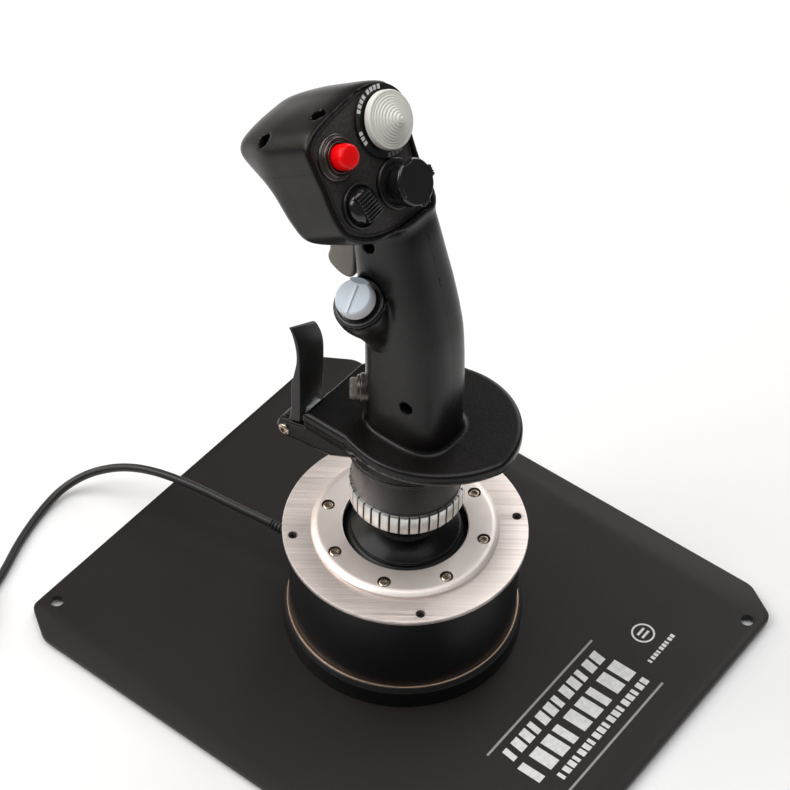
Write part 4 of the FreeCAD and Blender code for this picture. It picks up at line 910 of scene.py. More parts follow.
def build_strain_relief():
    """Tapered rubber sleeve with cross cuts, from a flange on the drum to the free cable."""
    out = Vector((math.cos(CABLE_EXIT_ANGLE), math.sin(CABLE_EXIT_ANGLE), 0))
    base = out * (DRUM_R + 0.02) + Vector((0, 0, CABLE_EXIT_Z))
    profile = [(0, -5.8), (3.05, -5.8), (3.05, 0.05), (4.1, 0.05), (4.1, 2.0), (3.65, 2.7)]
    length, start = 19.0, 2.9
    count = 8
    for i in range(count):
        h0 = start + (length - start - 1.0) * i / count
        pitch = (length - start - 1.0) / count
        r = 3.5 - 1.0 * i / (count - 1)
        profile += [(r, h0), (r - 0.04, h0 + pitch * 0.62), (r - 0.65, h0 + pitch * 0.68),
                    (r - 0.65, h0 + pitch * 0.96)]
    profile += [(2.45, length - 0.8), (2.3, length), (0, length)]
    return lathe("strain_relief_boot", rounded(profile, 0.25, 2), "base", "cable_black", "cable_black",
                 ["strain_relief"], basis(base, out), 40, 60)


def plug_outline(width, height, corner):
    w, h = width / 2, height / 2
    return rounded([(-w, -h), (w, -h), (w, h), (-w, h)], corner, 5)


def build_plug():
    """Moulded USB plug: ribbed sleeve, waisted body, pressed steel shell and the tongue inside it."""
    end, before = Vector(TAIL_ROUTE[-1]), Vector(TAIL_ROUTE[-2])
    out = end - before
    out.z = 0.0
    at = basis(end, out, Vector((0, 0, 1)).cross(out))
    sleeve = [(0, 0.1), (2.5, 0.1)]
    for i in range(5):
        sleeve += [(2.7 + 0.16 * i, 0.6 + 1.5 * i), (2.75 + 0.16 * i, 1.5 + 1.5 * i),
                   (2.3 + 0.16 * i, 1.6 + 1.5 * i), (2.3 + 0.16 * i, 2.0 + 1.5 * i)]
    sleeve += [(3.4, 8.0), (0, 8.0)]
    parts = [lathe_mesh(rounded(sleeve, 0.2, 2), 40, at)]
    sections = [(7.6, 0.80, 0.86), (8.6, 0.93, 0.96), (10.5, 1.0, 1.0), (22.0, 1.0, 1.0), (26.0, 0.97, 1.0),
                (34.0, 0.97, 1.0), (36.6, 0.95, 0.97), (37.6, 0.88, 0.9)]
    outline = plug_outline(15.4, 7.7, 2.4)
    verts = [at @ Vector((px * sx, py * sy, h)) for h, sx, sy in sections for px, py in outline]
    parts.append((verts, band_faces(len(outline), len(sections))))
    plug = piece("usb_plug_body", *joined(parts), "base", "cable_black", "cable_black", ["usb_plug"])
    shell = prism("usb_plug_shell", plug_outline(12.0, 4.5, 0.5), 37.4, 50.1, "base", "bearing_steel",
                  "bearing_steel", ["usb_shell"], at, 0.12, 2)
    inner = prism_mesh(plug_outline(11.2, 3.7, 0.3), 39.4, 60.0, at)
    cut(shell, [inner])
    tongue = prism("usb_plug_tongue", [(-5.4, -1.5), (5.4, -1.5), (5.4, 0.0), (-5.4, 0.0)], 38.0, 49.2, "base",
                   "foot_rubber", "cable_black", (), at, 0.1, 1)
    return [plug, shell, tongue]


# ---------------------------------------------------------------- plate and drum
def hole_tools(places, radius, low_z, high_z, count=32):
    return [prism_mesh(circle(radius, count, (p[0], p[1])), low_z, high_z) for p in places]


def build_plate():
    x, y = PLATE_HALF
    cx, cy = PLATE_CUT
    outline = rounded([(x, y - cy), (x - cx, y), (cx - x, y), (-x, y - cy), (-x, cy - y), (cx - x, -y),
                       (x - cx, -y), (x, cy - y)], 3.0, 6)
    plate = prism("plate", outline, PLATE_BOTTOM, PLATE_TOP, "base", "plate_black", "plate_black",
                  ["base_plate"], bevel=0.35, steps=2)
    mounts = [(sx * MOUNT_HALF[0], sy * MOUNT_HALF[1]) for sx in (-1, 1) for sy in (-1, 1)]
    screws = around(PLATE_SCREW_CIRCLE, 4)
    cut(plate, hole_tools(mounts, MOUNT_HOLE_R, 0.0, 9.0) + hole_tools(screws, 4.2, 0.0, PLATE_BOTTOM + 0.6))
    cut(plate, hole_tools(screws, 2.2, 0.0, 9.0))


def build_drum():
    inner, top = DRUM_R + 0.05, FOOT_RING_TOP
    wall = [(DRUM_HOLE_R, PLATE_TOP), (DRUM_R, PLATE_TOP), (DRUM_R, DISC_BOTTOM), (DRUM_HOLE_R, DISC_BOTTOM)]
    lathe("drum_wall", rounded(wall, 0.4, 3), "base", "drum_black", "drum_black", ["drum_housing"],
          segments=ROUND)
    foot = [(inner, PLATE_TOP), (FOOT_RING_R, PLATE_TOP), (FOOT_RING_R, top - 2.6), (FOOT_EDGE_R, top - 0.5),
            (inner, top - 0.5)]
    lathe("drum_foot", rounded(foot, 0.5, 3), "base", "foot_black", "plate_black", ["drum_foot_ring"],
          segments=ROUND)
    # Thin copper band on the black foot's rolled top edge: it paints in the bright highlight line along that
    # edge.
    inner = DRUM_R + 0.04
    edge = [(inner, top - 0.6), (FOOT_EDGE_R - 0.02, top - 0.6), (FOOT_EDGE_R - 0.1, top - 0.1),
            (FOOT_EDGE_R - 0.6, top), (inner, top)]
    lathe("drum_foot_edge_highlight", rounded(edge, 0.2, 3), "base", "foot_edge_highlight", "plate_black", segments=ROUND)


def build_disc():
    lip = DISC_BOTTOM + 1.9
    profile = [(DISC_HOLE_R, DISC_BOTTOM), (DRUM_R, DISC_BOTTOM), (DRUM_R, lip), (DISC_R, lip),
               (DISC_R, DISC_TOP), (DISC_HOLE_R, DISC_TOP)]
    lathe("drum_top_band", [(DRUM_R, DISC_BOTTOM - 0.4), (DRUM_R + 0.15, DISC_BOTTOM - 0.4),
                            (DRUM_R + 0.15, lip - 0.02), (DRUM_R, lip - 0.02)], "base", "drum_black",
          "drum_black", segments=160)
    disc = lathe("drum_disc", rounded(profile, [0.2, 0.2, 0.1, 0.4, 0.55, 0.2], 3), "base", "disc_brushed",
                 "disc_brushed", ["top_disc"], segments=ROUND)
    seats = around(DISC_SCREW_CIRCLE, 4, 45.0)
    cut(disc, hole_tools(seats, 2.1, DISC_BOTTOM + 1.6, 80.0))
    cut(disc, hole_tools(seats, 1.25, DISC_BOTTOM - 1, 80.0))
    base = DISC_TOP
    profile = [(RING_HOLE_R + 0.5, base), (RING_R, base), (RING_R, base + 1.0), (RING_R - 2.6, RING_TOP),
               (RING_HOLE_R + 0.1, RING_TOP), (RING_HOLE_R, base + 0.6)]
    ring = lathe("drum_ring", rounded(profile, [0.2, 0.15, 1.5, 1.6, 0.45, 0.2], 6), "base", "ring_satin",
                 "ring_satin", ["inner_ring"], segments=ROUND)
    seats = around(RING_SCREW_CIRCLE, 8, 22.5)
    cut(ring, hole_tools(seats, 2.95, base + 1.1, 80.0))
    cut(ring, hole_tools(seats, 1.3, base - 1, 80.0))
    # Dark linings inside the ring's counterbores: painted shade down in the screw wells.
    rims = [lathe_mesh(rounded([(2.62, base + 1.12), (2.93, base + 1.12), (2.93, RING_TOP - 0.2),
                                (2.85, RING_TOP - 0.1), (2.75, base + 1.4), (2.62, base + 1.3)], 0.05, 2), 40,
                       Matrix.Translation(p)) for p in seats]
    piece("ring_screw_well_shade_linings", *joined(rims), "base", "screw_well", "screw_steel")
    screw_set("ring_screw_heads", [basis(p + Z * (base + 1.15), Z, (1, 0.4, 0)) for p in seats], 2.6, 1.35,
              "base", "screw_steel", "screw_steel", ["ring_screws"])
    seats = around(DISC_SCREW_CIRCLE, 4, 45.0, DISC_BOTTOM + 1.7)
    screw_set("disc_screw_heads", [basis(p, Z) for p in seats], 1.9, 1.4, "base", "screw_black", "screw_black",
              ["disc_screws"])


def socket_head(at, radius, height, across=0.48, depth=0.7):
    """Button head with a hexagon socket, as a shell of rings from rim to socket floor."""
    sides = 36
    socket = radius * across
    rings = []
    for r, h in rounded([(radius, 0.0), (radius, height * 0.62), (radius * 0.72, height),
                         (radius * 0.6, height)], 0.5, 4, closed=False):
        rings.append([(r * math.cos(2 * math.pi * i / sides), r * math.sin(2 * math.pi * i / sides), h)
                      for i in range(sides)])

    def hexagon(scale, h):
        made = []
        for i in range(sides):
            a = 2 * math.pi * i / sides
            local = (a + math.pi / 6) % (math.pi / 3) - math.pi / 6
            r = scale * math.cos(math.pi / 6) / math.cos(local)
            made.append((r * math.cos(a), r * math.sin(a), h))
        return made

    rings.append(hexagon(socket * 1.08, height))
    rings.append(hexagon(socket, height - 0.08))
    rings.append(hexagon(socket, height * (1 - depth)))
    return [at @ Vector(p) for ring in rings for p in ring], band_faces(sides, len(rings))


def screw_set(name, frames, radius, height, body, material, slot, replaces=()):
    parts = [socket_head(at, radius, height) for at in frames]
    return piece(name, *joined(parts), body, material, slot, replaces)


def wrapped_mark(corners, radius, thick, at=None):
    """A flat mark of (angle in degrees, height) laid round a cylinder."""
    at = at or Matrix.Identity(4)
    verts = []
    for r in (radius - 0.05, radius + thick):
        for angle, h in corners:
            a = math.radians(angle)
            verts.append(at @ Vector((r * math.cos(a), r * math.sin(a), h)))
    count = len(corners)
    faces = [tuple(range(count)), tuple(reversed(range(count, 2 * count)))]
    faces += [(i, (i + 1) % count, count + (i + 1) % count, count + i) for i in range(count)]
    return verts, faces


def bar_mesh(start, end, width, low_z, high_z):
    a, b = Vector(start), Vector(end)
    along = (b - a).normalized()
    side = Vector((-along.y, along.x)) * width / 2
    return prism_mesh([tuple(a - side), tuple(b - side), tuple(b + side), tuple(a + side)], low_z, high_z)


def dash_row(x, y, count, slant):
    """Slanted blocks of two lengths in a row along X."""
    pitch = (x[1] - x[0]) / count
    made = []
    for i in range(count):
        at = x[0] + pitch * i
        long = 0.74 if i % 3 else 0.5
        made.append(prism_mesh([(at, y[0]), (at + pitch * long, y[0]), (at + pitch * long + slant, y[1]),
                                (at + slant, y[1])], PLATE_TOP - PRINT_SUNK, PLATE_TOP + PRINT_THICKNESS))
    return made


def build_print():
    """Generic print at the plate's near edge: two long rules, rows of blocks, and a ring with two bars."""
    top = PLATE_TOP + PRINT_THICKNESS
    rules = [bar_mesh((-PRINT_HALF, y), (PRINT_HALF, y), 1.1, PLATE_TOP - PRINT_SUNK, top)
             for y in PRINT_RULES_Y]
    piece("plate_rules", *joined(rules), "base", "print_grey", "plate_black")
    blocks = [block for row in PRINT_ROWS for block in dash_row(*row)]
    cx, cy = PRINT_RING
    ring = lathe_mesh([(4.6, PLATE_TOP - PRINT_SUNK), (5.5, PLATE_TOP - PRINT_SUNK), (5.5, top), (4.6, top)],
                      48, Matrix.Translation((cx, cy, 0)))
    bars = [bar_mesh((cx - 2.6, cy + lift), (cx + 2.6, cy + lift), 1.2, PLATE_TOP - PRINT_SUNK, top)
            for lift in (-1.3, 1.3)]
    piece("plate_blocks", *joined(blocks + [ring] + bars), "base", "print_pale", "plate_black")


# ---------------------------------------------------------------- boot, nut and collar
def shell_arc(radius, start, end, steps):
    """Profile points on a ball about the pivot, at angles from its top."""
    angles = [start + (end - start) * i / steps for i in range(steps + 1)]
    return [(radius * math.sin(a), PIVOT_Z + radius * math.cos(a)) for a in angles]


def build_boot():
    rim, rim_z = BOOT_R * math.sin(BOOT_ANGLE), PIVOT_Z + BOOT_R * math.cos(BOOT_ANGLE)
    neck_angle = math.asin(NECK_R / BOOT_R)
    neck_z = PIVOT_Z + BOOT_R * math.cos(neck_angle)
    outer = shell_arc(BOOT_R, BOOT_ANGLE, neck_angle, 20)
    flare = smooth_loop([(NECK_R, neck_z + 0.2), (NECK_R - 0.9, neck_z + 3.0), (NECK_R - 0.2, neck_z + 7.0),
                         (NECK_R + 1.6, neck_z + 10.6), (NECK_R + 3.9, neck_z + 12.8)], 6, closed=False)
    top = [(19.6, NUT_LOW - 0.7), (19.2, NUT_LOW - 0.4), (12.7, NUT_LOW - 0.4), (12.7, neck_z - 1.5)]
    inner = shell_arc(DOME_R + 0.1, neck_angle - 0.06, BOOT_ANGLE, 11)
    lip = [(rim - 0.1 + 0.62 * math.cos(t), rim_z - 0.32 + 0.62 * math.sin(t))
           for t in (math.radians(d) for d in range(-110, 95, 20))]
    lathe("boot_skirt", lip + outer[1:] + [tuple(p) for p in flare] + top + inner, "stick", "boot_black",
          "boot_black", ["boot"], segments=160, smooth_angle=40)
    start, end = math.radians(17.0), math.radians(61.0)
    dome = shell_arc(DOME_R, start, end, 24)
    under = shell_arc(DOME_R - 1.6, end, start, 24)
    lathe("dust_shell", dome + under, "stick", "dome_black", "boot_black", ["dust_dome"], segments=128)


def build_nut():
    """Knurled aluminium nut: broad ribs with rounded ends and narrow grooves between them, whose dark material
    is painted shade.
    """
    steps = 24
    total = NUT_RIBS * steps
    root, crest = NUT_R - 1.15, NUT_R
    heights = [(NUT_LOW + 0.1, 0.0), (NUT_LOW + 0.75, 0.05), (NUT_LOW + 1.1, 0.75), (NUT_LOW + 1.6, 1.0),
               (NUT_LOW + 5.7, 1.0), (NUT_HIGH - 0.8, 1.0), (NUT_HIGH - 0.4, 0.8), (NUT_HIGH - 0.25, 0.05),
               (NUT_HIGH - 0.1, 0.0)]
    shape = [0.0, 0.25, 0.85] + [1.0] * 18 + [0.85, 0.25, 0.0]
    verts, faces = [], []
    for i in range(total):
        a = 2 * math.pi * i / total
        c, s = math.cos(a), math.sin(a)
        ring = [(CONNECTOR_R + 0.1, NUT_LOW), (root - 0.4, NUT_LOW)]
        ring += [(root + (crest - root) * shape[i % steps] * rise, h) for h, rise in heights]
        ring += [(root - 0.4, NUT_HIGH), (CONNECTOR_R + 0.1, NUT_HIGH)]
        verts += [(r * c, r * s, h) for r, h in ring]
    count = len(heights) + 4
    groove = []
    for i in range(total):
        here, there = i * count, (i + 1) % total * count
        for k in range(count):
            j = (k + 1) % count
            faces.append((here + k, there + k, there + j, here + j))
            # Faces down in the grooves take the dark material: painted shade between the ribs.
            dark = 2 <= k < count - 3 and (shape[i % steps] < 0.5 or shape[(i + 1) % steps] < 0.5)
            groove.append(1 if dark else 0)
    nut = mesh_from("nut_ribs", verts, faces)
    nut.materials.append(MATERIALS["nut_aluminium"])
    nut.materials.append(MATERIALS["nut_groove_shade"])
    nut.polygons.foreach_set("material_index", groove)
    finish_mesh(nut, 38)
    return place("nut_ribbed", nut, "lock_nut", "nut_aluminium", "nut_aluminium", ["lock_nut"])


def build_collar():
    low_z, high_z = COLLAR_LOW, COLLAR_HIGH
    profile = [(CONNECTOR_R + 0.05, low_z), (COLLAR_R, low_z), (COLLAR_R, high_z - 1.4),
               (COLLAR_R + 0.5, high_z - 0.9), (HUB_R, high_z - 0.8), (HUB_R, high_z + 1.1),
               (13.0, high_z + 1.1), (13.0, 108.4), (CONNECTOR_R + 0.05, 108.4)]
    lathe("collar_ring", rounded(profile, [0.2, 0.6, 0.3, 0.3, 0.4, 0.4, 0.3, 0.3, 0.3], 4), "stick",
          "collar_black", "grip_black", ["grip_collar"], segments=160)
    mark = wrapped_mark([(-71.5, 102.2), (-66.5, 102.2), (-69.0, 106.2)], COLLAR_R, 0.05)
    piece("collar_mark", *mark, "stick", "print_pale", "grip_black")


# ---------------------------------------------------------------- panel and its controls
def panel_frame(pos=(0.0, 0.0), out=0.0):
    return basis(panel_point(pos, out), PANEL_N, X)


def shrunk_outline(inset, times=8):
    return inset_outline([tuple(p) for p in smooth_loop(PANEL_OUTLINE, times)], inset)


def build_panel():
    outline = shrunk_outline(RIM_WIDTH + 0.12)
    plate = prism("panel_plate", outline, -3.0, -PANEL_DEPTH, "stick", "panel_black", "panel_black",
                  ["face_plate"], panel_frame(), bevel=0.35, steps=2)
    holes = [prism_mesh(circle(4.9, 40, pos), -6.0, 4.0, panel_frame())
             for pos in (TRIM_POS, LOWER_HAT_POS, UPPER_HAT_POS)]
    holes.append(prism_mesh(circle(5.5, 40, RED_POS), -6.0, 4.0, panel_frame()))
    cut(plate, holes)
    inner, outer = shrunk_outline(RIM_WIDTH + 1.5), shrunk_outline(RIM_WIDTH + 1.1)
    foot, crest = -PANEL_DEPTH - 0.05, -PANEL_DEPTH + 0.12
    count, at = len(inner), panel_frame()
    verts, faces = [], []
    for loop, h in ((outer, foot), (outer, crest), (inner, crest), (inner, foot)):
        verts += [at @ Vector((px, py, h)) for px, py in loop]
    for r in range(4):
        here, there = r * count, (r + 1) % 4 * count
        for i in range(count):
            j = (i + 1) % count
            faces.append((here + i, here + j, there + j, there + i))
    piece("panel_bead", verts, faces, "stick", "bezel_black", "panel_black")


def build_trim():
    at = panel_frame(TRIM_POS)
    profile = [(6.6, -0.85), (10.0, -0.85), (10.0, 0.05), (14.2, 0.05), (14.2, 0.44), (9.2, 0.44), (8.8, 0.1),
               (6.6, 0.1)]
    lathe("trim_ring", rounded(profile, 0.12, 3), "stick", "bezel_black", "panel_black", ["trim_bezel"], at,
          128)
    marks, dim = [], []
    for first, count, group in ((66, 4, marks), (106, 4, marks), (170, 3, marks), (246, 4, dim)):
        for k in range(count):
            start = first + 9.0 * k
            sweep = np.linspace(start, start + 6.5, 5)
            group.append(prism_mesh(arc(13.9, sweep) + arc(12.1, sweep[::-1]), 0.4, 0.48, at))
    piece("trim_ring_dim_marks", *joined(dim), "stick", "print_grey", "panel_black")
    piece("trim_ring_marks", *joined(marks), "stick", "print_pale", "panel_black")
    steps = [(0, 1.7), (11.0, 1.7), (11.45, 2.2), (11.45, 4.5), (11.05, 4.95), (10.35, 5.0)]
    radius, height = 10.2, 4.75
    for i in range(9):
        steps.append((radius, height))
        height += 0.34 + 0.075 * i
        steps.append((radius - 0.12, height))
        steps.append((radius - 0.35, height + 0.08))
        radius -= 1.03
    steps += [(radius, height), (radius * 0.5, height + 0.5), (0, height + 0.62)]
    lathe("trim_hat_cone", rounded(steps, 0.14, 3), "trim_hat", "trim_grey", "trim_grey", ["trim_hat"], at, 128,
          50)


def build_red_button():
    at = panel_frame(RED_POS)
    profile = [(5.3, -4.4), (5.48, -4.4), (5.48, -0.85), (9.1, -0.85), (9.1, -0.1), (8.6, 0.4), (7.9, 0.5),
               (7.9, 1.4), (7.4, 1.9), (7.1, 1.9), (6.9, 1.2), (6.3, 1.0), (6.1, 1.7), (5.7, 1.9), (5.3, 1.6)]
    lathe("red_button_collar", rounded(profile, 0.22, 3), "stick", "collar_steel", "collar_steel",
          ["red_collar"], at, 96)
    sides = 96

    def radius(a, r):
        local = (a + math.pi / 8) % (math.pi / 4) - math.pi / 8
        flat = r * math.cos(math.pi / 8) / math.cos(local)
        return 0.35 * r + 0.65 * min(flat * 1.045, r)

    rings = [(4.0, -5.9, 0), (4.9, -3.3, 0), (4.95, 3.0, 0.6), (4.98, 5.2, 1), (4.9, 6.4, 1), (4.6, 7.1, 1),
             (4.1, 7.55, 1), (3.4, 7.75, 1), (1.8, 7.85, 0.5)]
    verts = []
    for r, h, facet in rings:
        for i in range(sides):
            a = 2 * math.pi * i / sides
            rr = r * (1 - facet) + radius(a, r) * facet
            verts.append(at @ Vector((rr * math.cos(a), rr * math.sin(a), h)))
    piece("red_button_cap", verts, band_faces(sides, len(rings)), "red_button", "button_red", "button_red",
          ["red_button"], 40)


def rounded_box(x, y, z, corner, at=None, bevel=0.3, steps=2):
    outline = rounded([(x[0], y[0]), (x[1], y[0]), (x[1], y[1]), (x[0], y[1])], corner, 3)
    return prism_mesh(outline, z[0], z[1], at, bevel, steps)


def build_upper_hat():
    at = panel_frame(UPPER_HAT_POS)
    bezel = [(7.9, -0.85), (10.0, -0.85), (10.0, 0.6), (9.5, 1.0), (8.4, 1.0), (7.9, 0.5)]
    lathe("upper_hat_ring", rounded(bezel, 0.2, 3), "stick", "bezel_black", "panel_black", ["upper_hat_bezel"],
          at, 96)
    cap = [(0, 0.6), (6.5, 0.6), (7.0, 4.2), (8.6, 5.2), (9.3, 6.2), (9.3, 10.4), (8.6, 11.2), (7.9, 11.1),
           (0, 11.1)]
    parts = [lathe_mesh(rounded(cap, [0, 0.2, 0.4, 0.5, 0.5, 0.4, 0.4, 0.3, 0], 4), 96, at)]
    for i in range(4):
        turn = at @ Matrix.Rotation(math.radians(90 * i), 4, "Z")
        parts.append(rounded_box((7.6, 9.5), (-2.4, 2.4), (9.1, 11.35), 0.5, turn, 0.3))
        for k in range(4):
            y = -1.65 + 1.1 * k
            parts.append(rounded_box((8.9, 9.72), (y - 0.32, y + 0.32), (9.3, 11.5), 0.15, turn, 0.14, 1))
    piece("upper_hat_cap", *joined(parts), "upper_hat", "hat_black", "hat_black", ["upper_hat"])


def build_lower_hat():
    at = panel_frame(LOWER_HAT_POS)
    bezel = [(7.75, -0.85), (8.8, -0.85), (8.8, 0.6), (8.4, 0.95), (8.0, 0.9), (7.75, 0.4)]
    lathe("lower_hat_ring", rounded(bezel, 0.15, 3), "stick", "bezel_black", "panel_black", ["lower_hat_bezel"],
          at, 96)
    dome = [(0, 0.4), (6.85, 0.4), (6.95, 1.3)] + [tuple(p) for p in smooth_loop(
        [(6.85, 1.6), (6.3, 2.9), (5.2, 4.0), (3.5, 4.8), (0.0, 5.3)], 5, closed=False)]
    parts = [lathe_mesh(dome, 80, at)]
    ribs, reach = 8, 5.6
    turn = at @ Matrix.Rotation(math.radians(5), 4, "Z")
    parts.append(rounded_box((-3.6, 3.2), (0.4 - reach, reach - 0.4), (2.0, 5.2), 0.5, turn, 0.3))
    for i in range(ribs):
        u = reach * (2 * i + 1 - ribs) / ribs
        parts.append(rounded_box((-3.95, 3.55), (u - 0.4, u + 0.4), (2.2, 6.5 - 0.03 * u * u), 0.2, turn, 0.2))
    piece("lower_hat_cap", *joined(parts), "lower_hat", "hat_black", "hat_black", ["lower_hat"])


def build_side_hat():
    """Pale disc with a raised rule and a finger recess, on a grey skirt inside a dark stepped collar."""
    at = basis(SIDE_HAT_FACE, SIDE_HAT_AXIS, (0, 0, 1)) @ Matrix.Rotation(math.radians(SIDE_HAT_SPIN), 4, "Z")
    collar = [(5.6, -8.55), (10.6, -8.55), (10.6, -7.8), (9.9, -7.2), (9.0, -7.15), (8.8, -7.5), (6.4, -7.5),
              (5.6, -7.7)]
    lathe("side_hat_seat", rounded(collar, 0.25, 3), "stick", "collar_black", "panel_black",
          ["side_hat_collar"], at, 96)
    skirt = [(0, -6.0), (7.2, -6.0), (7.8, -5.7), (8.0, -5.0), (7.9, -1.9), (7.7, -1.35), (7.2, -1.2),
             (0, -1.2)]
    lathe("side_hat_skirt", rounded(skirt, [0, 0.3, 0.3, 0.4, 0.5, 0.3, 0.1, 0], 3), "side_hat_cap", "hat_side",
          "hat_pale", ["side_hat_cap"], at, 96)
    face = [(0, -1.5), (7.5, -1.5), (7.55, -1.05), (7.0, -0.28), (0, -0.28)]
    disc = lathe("side_hat_face", rounded(face, [0, 0.1, 0.2, 0.5, 0], 4), "side_hat_cap", "hat_pale",
                 "hat_pale", (), at, 96)
    crescent = arc(8.4, np.linspace(-34, 34, 15))
    crescent += [(11.6 - 6.1 * math.cos(a), 8.1 * math.sin(a) * 0.98)
                 for a in np.radians(np.linspace(30, -30, 11))]
    cut(disc, [prism_mesh(crescent, -0.95, 2.0, at)])
    raised = rounded_box((-7.2, 4.9), (-0.55, 0.55), (-0.6, 0.3), 0.4, at, 0.22)
    well = inset_outline(crescent, 0.12)
    piece("side_hat_recess", *prism_mesh(well, -1.3, -0.9, at), "side_hat_cap", "hat_shade", "hat_pale")
    # The raised rule takes a lighter copy of the hat's pale material: a painted highlight along it.
    piece("side_hat_rule", *raised, "side_hat_cap", "hat_edge", "hat_pale")


def build_side_button():
    at = basis(SIDE_BUTTON_POS, SIDE_BUTTON_AXIS, (0, 0, 1))
    cap = [(0, -4.0), (4.0, -4.0), (4.0, -2.0), (4.65, -2.0), (4.65, 4.9), (4.2, 5.8), (0, 5.85)]
    lathe("side_button_cap", rounded(cap, [0, 0.2, 0.2, 0.2, 0.4, 0.6, 0], 4), "side_button", "taupe", "taupe",
          ["side_button"], at, 64)
    collar = [(4.8, -5.0), (6.6, -5.0), (6.6, 1.0), (6.2, 1.4), (5.9, 1.5), (5.8, 2.5), (5.5, 2.8), (4.8, 2.8)]
    lathe("side_button_ring", rounded(collar, 0.2, 3), "stick", "collar_steel", "panel_black",
          ["side_button_collar"], at, 64)


# ---------------------------------------------------------------- trigger and paddle
def build_trigger():
    y, z = TRIGGER_Y, TRIGGER_Z
    outline = [tuple(p) for p in smooth_loop([
        (y - 4.0, z + 1.0), (y + 0.5, z + 3.9), (y + 5.4, z + 1.6), (y + 9.8, z - 5.0), (40.6, 234.0),
        (38.8, 222.0), (38.6, 213.0), (39.6, 208.0), (37.8, 204.4), (32.0, 201.8), (26.8, 203.4),
        (25.4, 212.0), (25.6, 232.0),
    ], 6)]
    half = TRIGGER_HALF_WIDTH
    trigger = prism("trigger_blade", outline, -half, half, "trigger", "taupe", "taupe", ["trigger"], SIDE_FRAME,
                    bevel=1.5, steps=5, smooth_angle=50)
    bore = prism_mesh(circle(1.55, 24, (y, z)), -12.0, 12.0, SIDE_FRAME)
    cut(trigger, [bore], 50)


def even_points(points, count):
    """Points evenly spaced along an open line."""
    line = np.array([tuple(p) for p in points], float)
    reach = np.concatenate([[0.0], np.cumsum(np.linalg.norm(np.diff(line, axis=0), axis=1))])
    at = np.linspace(0.0, reach[-1], count)
    return [(float(np.interp(t, reach, line[:, 0])), float(np.interp(t, reach, line[:, 1]))) for t in at]


def build_paddle():
    """Lever blade that narrows upward and curls forward at its slanted top, with its hub and neck."""
    back = smooth_loop([(38.4, 127.6), (38.0, 134.0), (37.9, 156.0), (38.0, 167.0), (39.0, 174.0),
                        (40.6, 178.4), (42.0, 180.6)], 5, closed=False)
    front = smooth_loop([(43.4, 180.4), (41.6, 176.6), (40.0, 170.0), (39.7, 163.0), (40.9, 156.0),
                         (42.4, 149.0), (42.9, 144.0), (42.8, 137.0), (43.2, 130.0), (44.8, 125.4)], 5,
                        closed=False)
    rows = 40
    outline = even_points(back, rows) + even_points(front, rows)
    low_x, high_x = PADDLE_X
    count = len(outline)
    rings = bevel_rings(0.45, low_x, high_x)
    verts = []
    for inset, x in rings:
        share = (x - low_x) / (high_x - low_x)
        for py, pz in inset_outline(outline, inset):
            fall = min(max((pz - 150.0) / 30.6, 0.0), 1.0)
            narrow = min(max((152.0 - pz) / 20.0, 0.0), 1.0)
            verts.append((x - 1.6 * share * narrow, py, pz - 8.2 * share * fall ** 1.4))
    faces = band_faces(count, len(rings), caps=False)
    last = (len(rings) - 1) * count
    for i in range(rows - 1):
        cap = (i, i + 1, count - 2 - i, count - 1 - i)
        faces.append(cap)
        faces.append(tuple(last + k for k in reversed(cap)))
    blade = piece("paddle_blade", verts, faces, "paddle", "lever_black", "lever_black", ["paddle_lever"], 40)
    notch = rounded([(-8.0, 129.4), (-11.8, 132.6), (-15.0, 135.6), (-21.2, 135.6), (-22.7, 134.2),
                     (-22.7, 120.0), (-8.0, 120.0)], [0, 1.5, 1.0, 0.6, 0.6, 0, 0], 5)
    cut(blade, [prism_mesh(notch, -60.0, -30.0, FRONT_FRAME)], 40)
    y, z = PADDLE_Y, PADDLE_Z
    hub = prism_mesh(circle(5.0, 48, (y, z)), -22.2, -13.6, SIDE_FRAME, 0.4)
    neck = rounded([(41.6, 119.4), (51.4, 119.2), (47.4, 126.6), (46.2, 128.2), (40.8, 128.2)], 1.0, 3)
    neck = prism_mesh(neck, -22.0, -13.8, SIDE_FRAME, 0.5)
    bridge = rounded([(40.6, 127.4), (44.8, 127.4), (43.4, 136.8), (41.6, 136.8)], 0.6, 3)
    bridge = prism_mesh(bridge, -24.6, -13.8, SIDE_FRAME, 0.4)
    piece("paddle_hub", *joined([hub, neck, bridge]), "paddle", "lever_black", "lever_black", (), 40)
    head = basis(Vector((PADDLE_X[0] - 0.05, y, z)), (-1, 0, 0))
    screw_set("paddle_screw", [head], 2.7, 1.4, "stick", "screw_steel", "screw_steel", ["paddle_pin"])
    nib = [tuple(p) for p in smooth_loop([(38.6, 127.2), (39.4, 129.2), (39.5, 131.2), (38.6, 133.0),
                                          (36.4, 133.7)], 5, closed=False)]
    prism("paddle_nib", [(26.0, 127.1)] + nib + [(26.0, 133.7)], -21.6, -14.4, "plunger", "plunger_grey",
          "hat_pale", ["paddle_plunger"], SIDE_FRAME, bevel=0.3)


# ---------------------------------------------------------------- CAD nodes that keep their shape
KEPT = {
    "foot_rubber": ["rubber_feet"],
    "screw_steel": ["plate_screws", "trigger_pin"],
    "gimbal_metal": ["gimbal_bracket", "gimbal_ring", "stick_hub", "magnet_cup", "base_connector"],
    "bearing_steel": ["pitch_bearings", "roll_bearings", "pitch_springs", "roll_springs", "pin_connector"],
    "magnet": ["sensor_magnet"],
    "circuit_board": ["sensor_board", "grip_board"],
    "switch_body": ["hat_housings", "trigger_switch", "trim_pivot", "upper_hat_pivot", "lower_hat_pivot",
                    "side_hat_pivot", "side_hat_stem"],
}


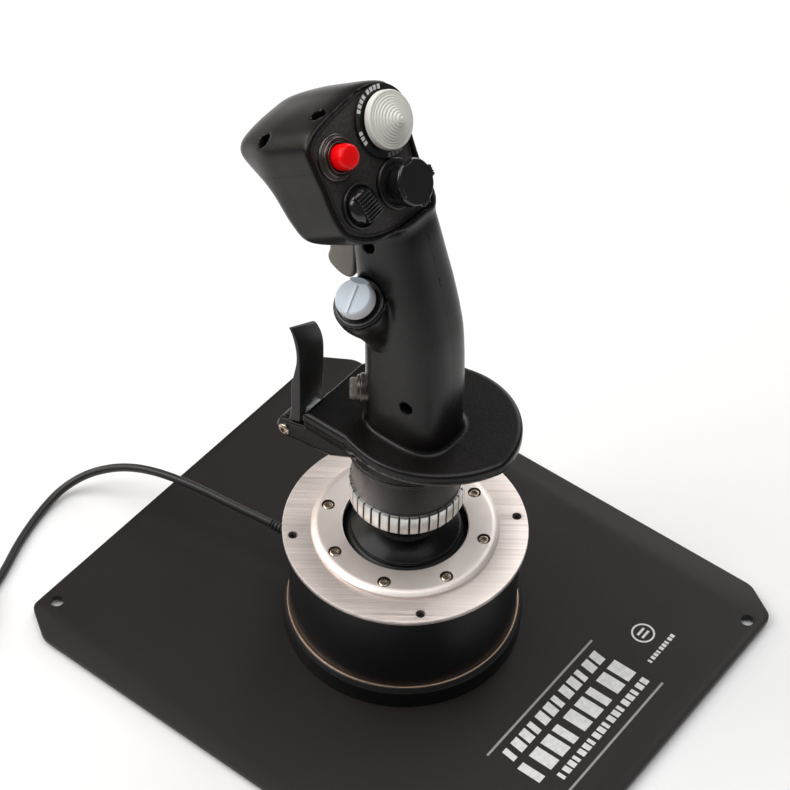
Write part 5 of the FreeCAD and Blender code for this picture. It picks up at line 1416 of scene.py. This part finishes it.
def finish_kept():
    for material, names in KEPT.items():
        for name in names:
            mesh = frame["nodes"][name].data
            mesh.materials.clear()
            mesh.materials.append(MATERIALS[material])


# ---------------------------------------------------------------- stage: floor, light and camera
CAMERA_AT = Vector((-0.5294, -0.3843, 0.8272))
CAMERA_AIM = Vector((0.02947, 0.02967, 0.105))
CAMERA_ROLL = math.radians(1.702)
CAMERA_LENS = 103.47
# Name, place, aim, size, power in watts and colour.
LIGHTS = [
    ("key", (-0.9, 0.9, 1.6), (0, 0, 0.1), (1.3, 1.3), 22.0, (1, 1, 1)),
    ("top", (0.2, -0.2, 2.0), (0, 0, 0.1), (1.6, 1.6), 19.0, (1, 1, 1)),
    ("right", (1.6, 0.3, 0.9), (0, 0, 0.2), (0.9, 1.2), 9.0, (1, 1, 1)),
    ("back", (-0.3, 1.8, 1.1), (0, 0, 0.2), (1.7, 1.0), 13.0, (1.0, 0.89, 0.8)),
]
WORLD_STRENGTH = 0.13
FLOOR_HALF = 6


def add_camera():
    data = bpy.data.cameras.new("camera")
    data.lens = CAMERA_LENS
    data.sensor_width = 36.0
    camera = linked("camera", data)
    look = (CAMERA_AIM - CAMERA_AT).to_track_quat("-Z", "Y").to_matrix().to_4x4()
    camera.matrix_world = Matrix.Translation(CAMERA_AT) @ look @ Matrix.Rotation(CAMERA_ROLL, 4, "Z")
    bpy.context.scene.camera = camera


def add_light(name, at, aim, size, power, colour):
    data = bpy.data.lights.new(name, "AREA")
    data.shape = "RECTANGLE"
    data.size, data.size_y = size
    data.energy = power
    data.color = colour
    light = linked(name, data)
    light.location = at
    light.rotation_euler = (Vector(aim) - Vector(at)).to_track_quat("-Z", "Y").to_euler()


def build_stage():
    mesh = bpy.data.meshes.new("floor")
    f = FLOOR_HALF
    mesh.from_pydata([(-f, -f, 0), (f, -f, 0), (f, f, 0), (-f, f, 0)], [], [(0, 1, 2, 3)])
    floor = linked("floor", mesh)
    mesh.materials.append(shader("floor_white", (0.93, 0.93, 0.93), 0.8, spread=0.0, bump=0.0, specular=0.1))
    world = bpy.data.worlds.new("studio")
    world.use_nodes = True
    world.node_tree.nodes["Background"].inputs["Color"].default_value = (1, 1, 1, 1)
    world.node_tree.nodes["Background"].inputs["Strength"].default_value = WORLD_STRENGTH
    bpy.context.scene.world = world
    for light in LIGHTS:
        add_light(*light)
    bpy.context.scene.view_settings.view_transform = "Standard"


add_camera()
cable = build_cable()
build_strain_relief()
plug_parts = build_plug()
tie = cable_tie()
for build in (build_plate, build_drum, build_disc, build_print, build_boot, build_nut, build_collar, build_grip,
              build_panel, build_trim, build_red_button, build_upper_hat, build_lower_hat, build_side_hat,
              build_side_button, build_trigger, build_paddle, finish_kept, build_stage):
    build()
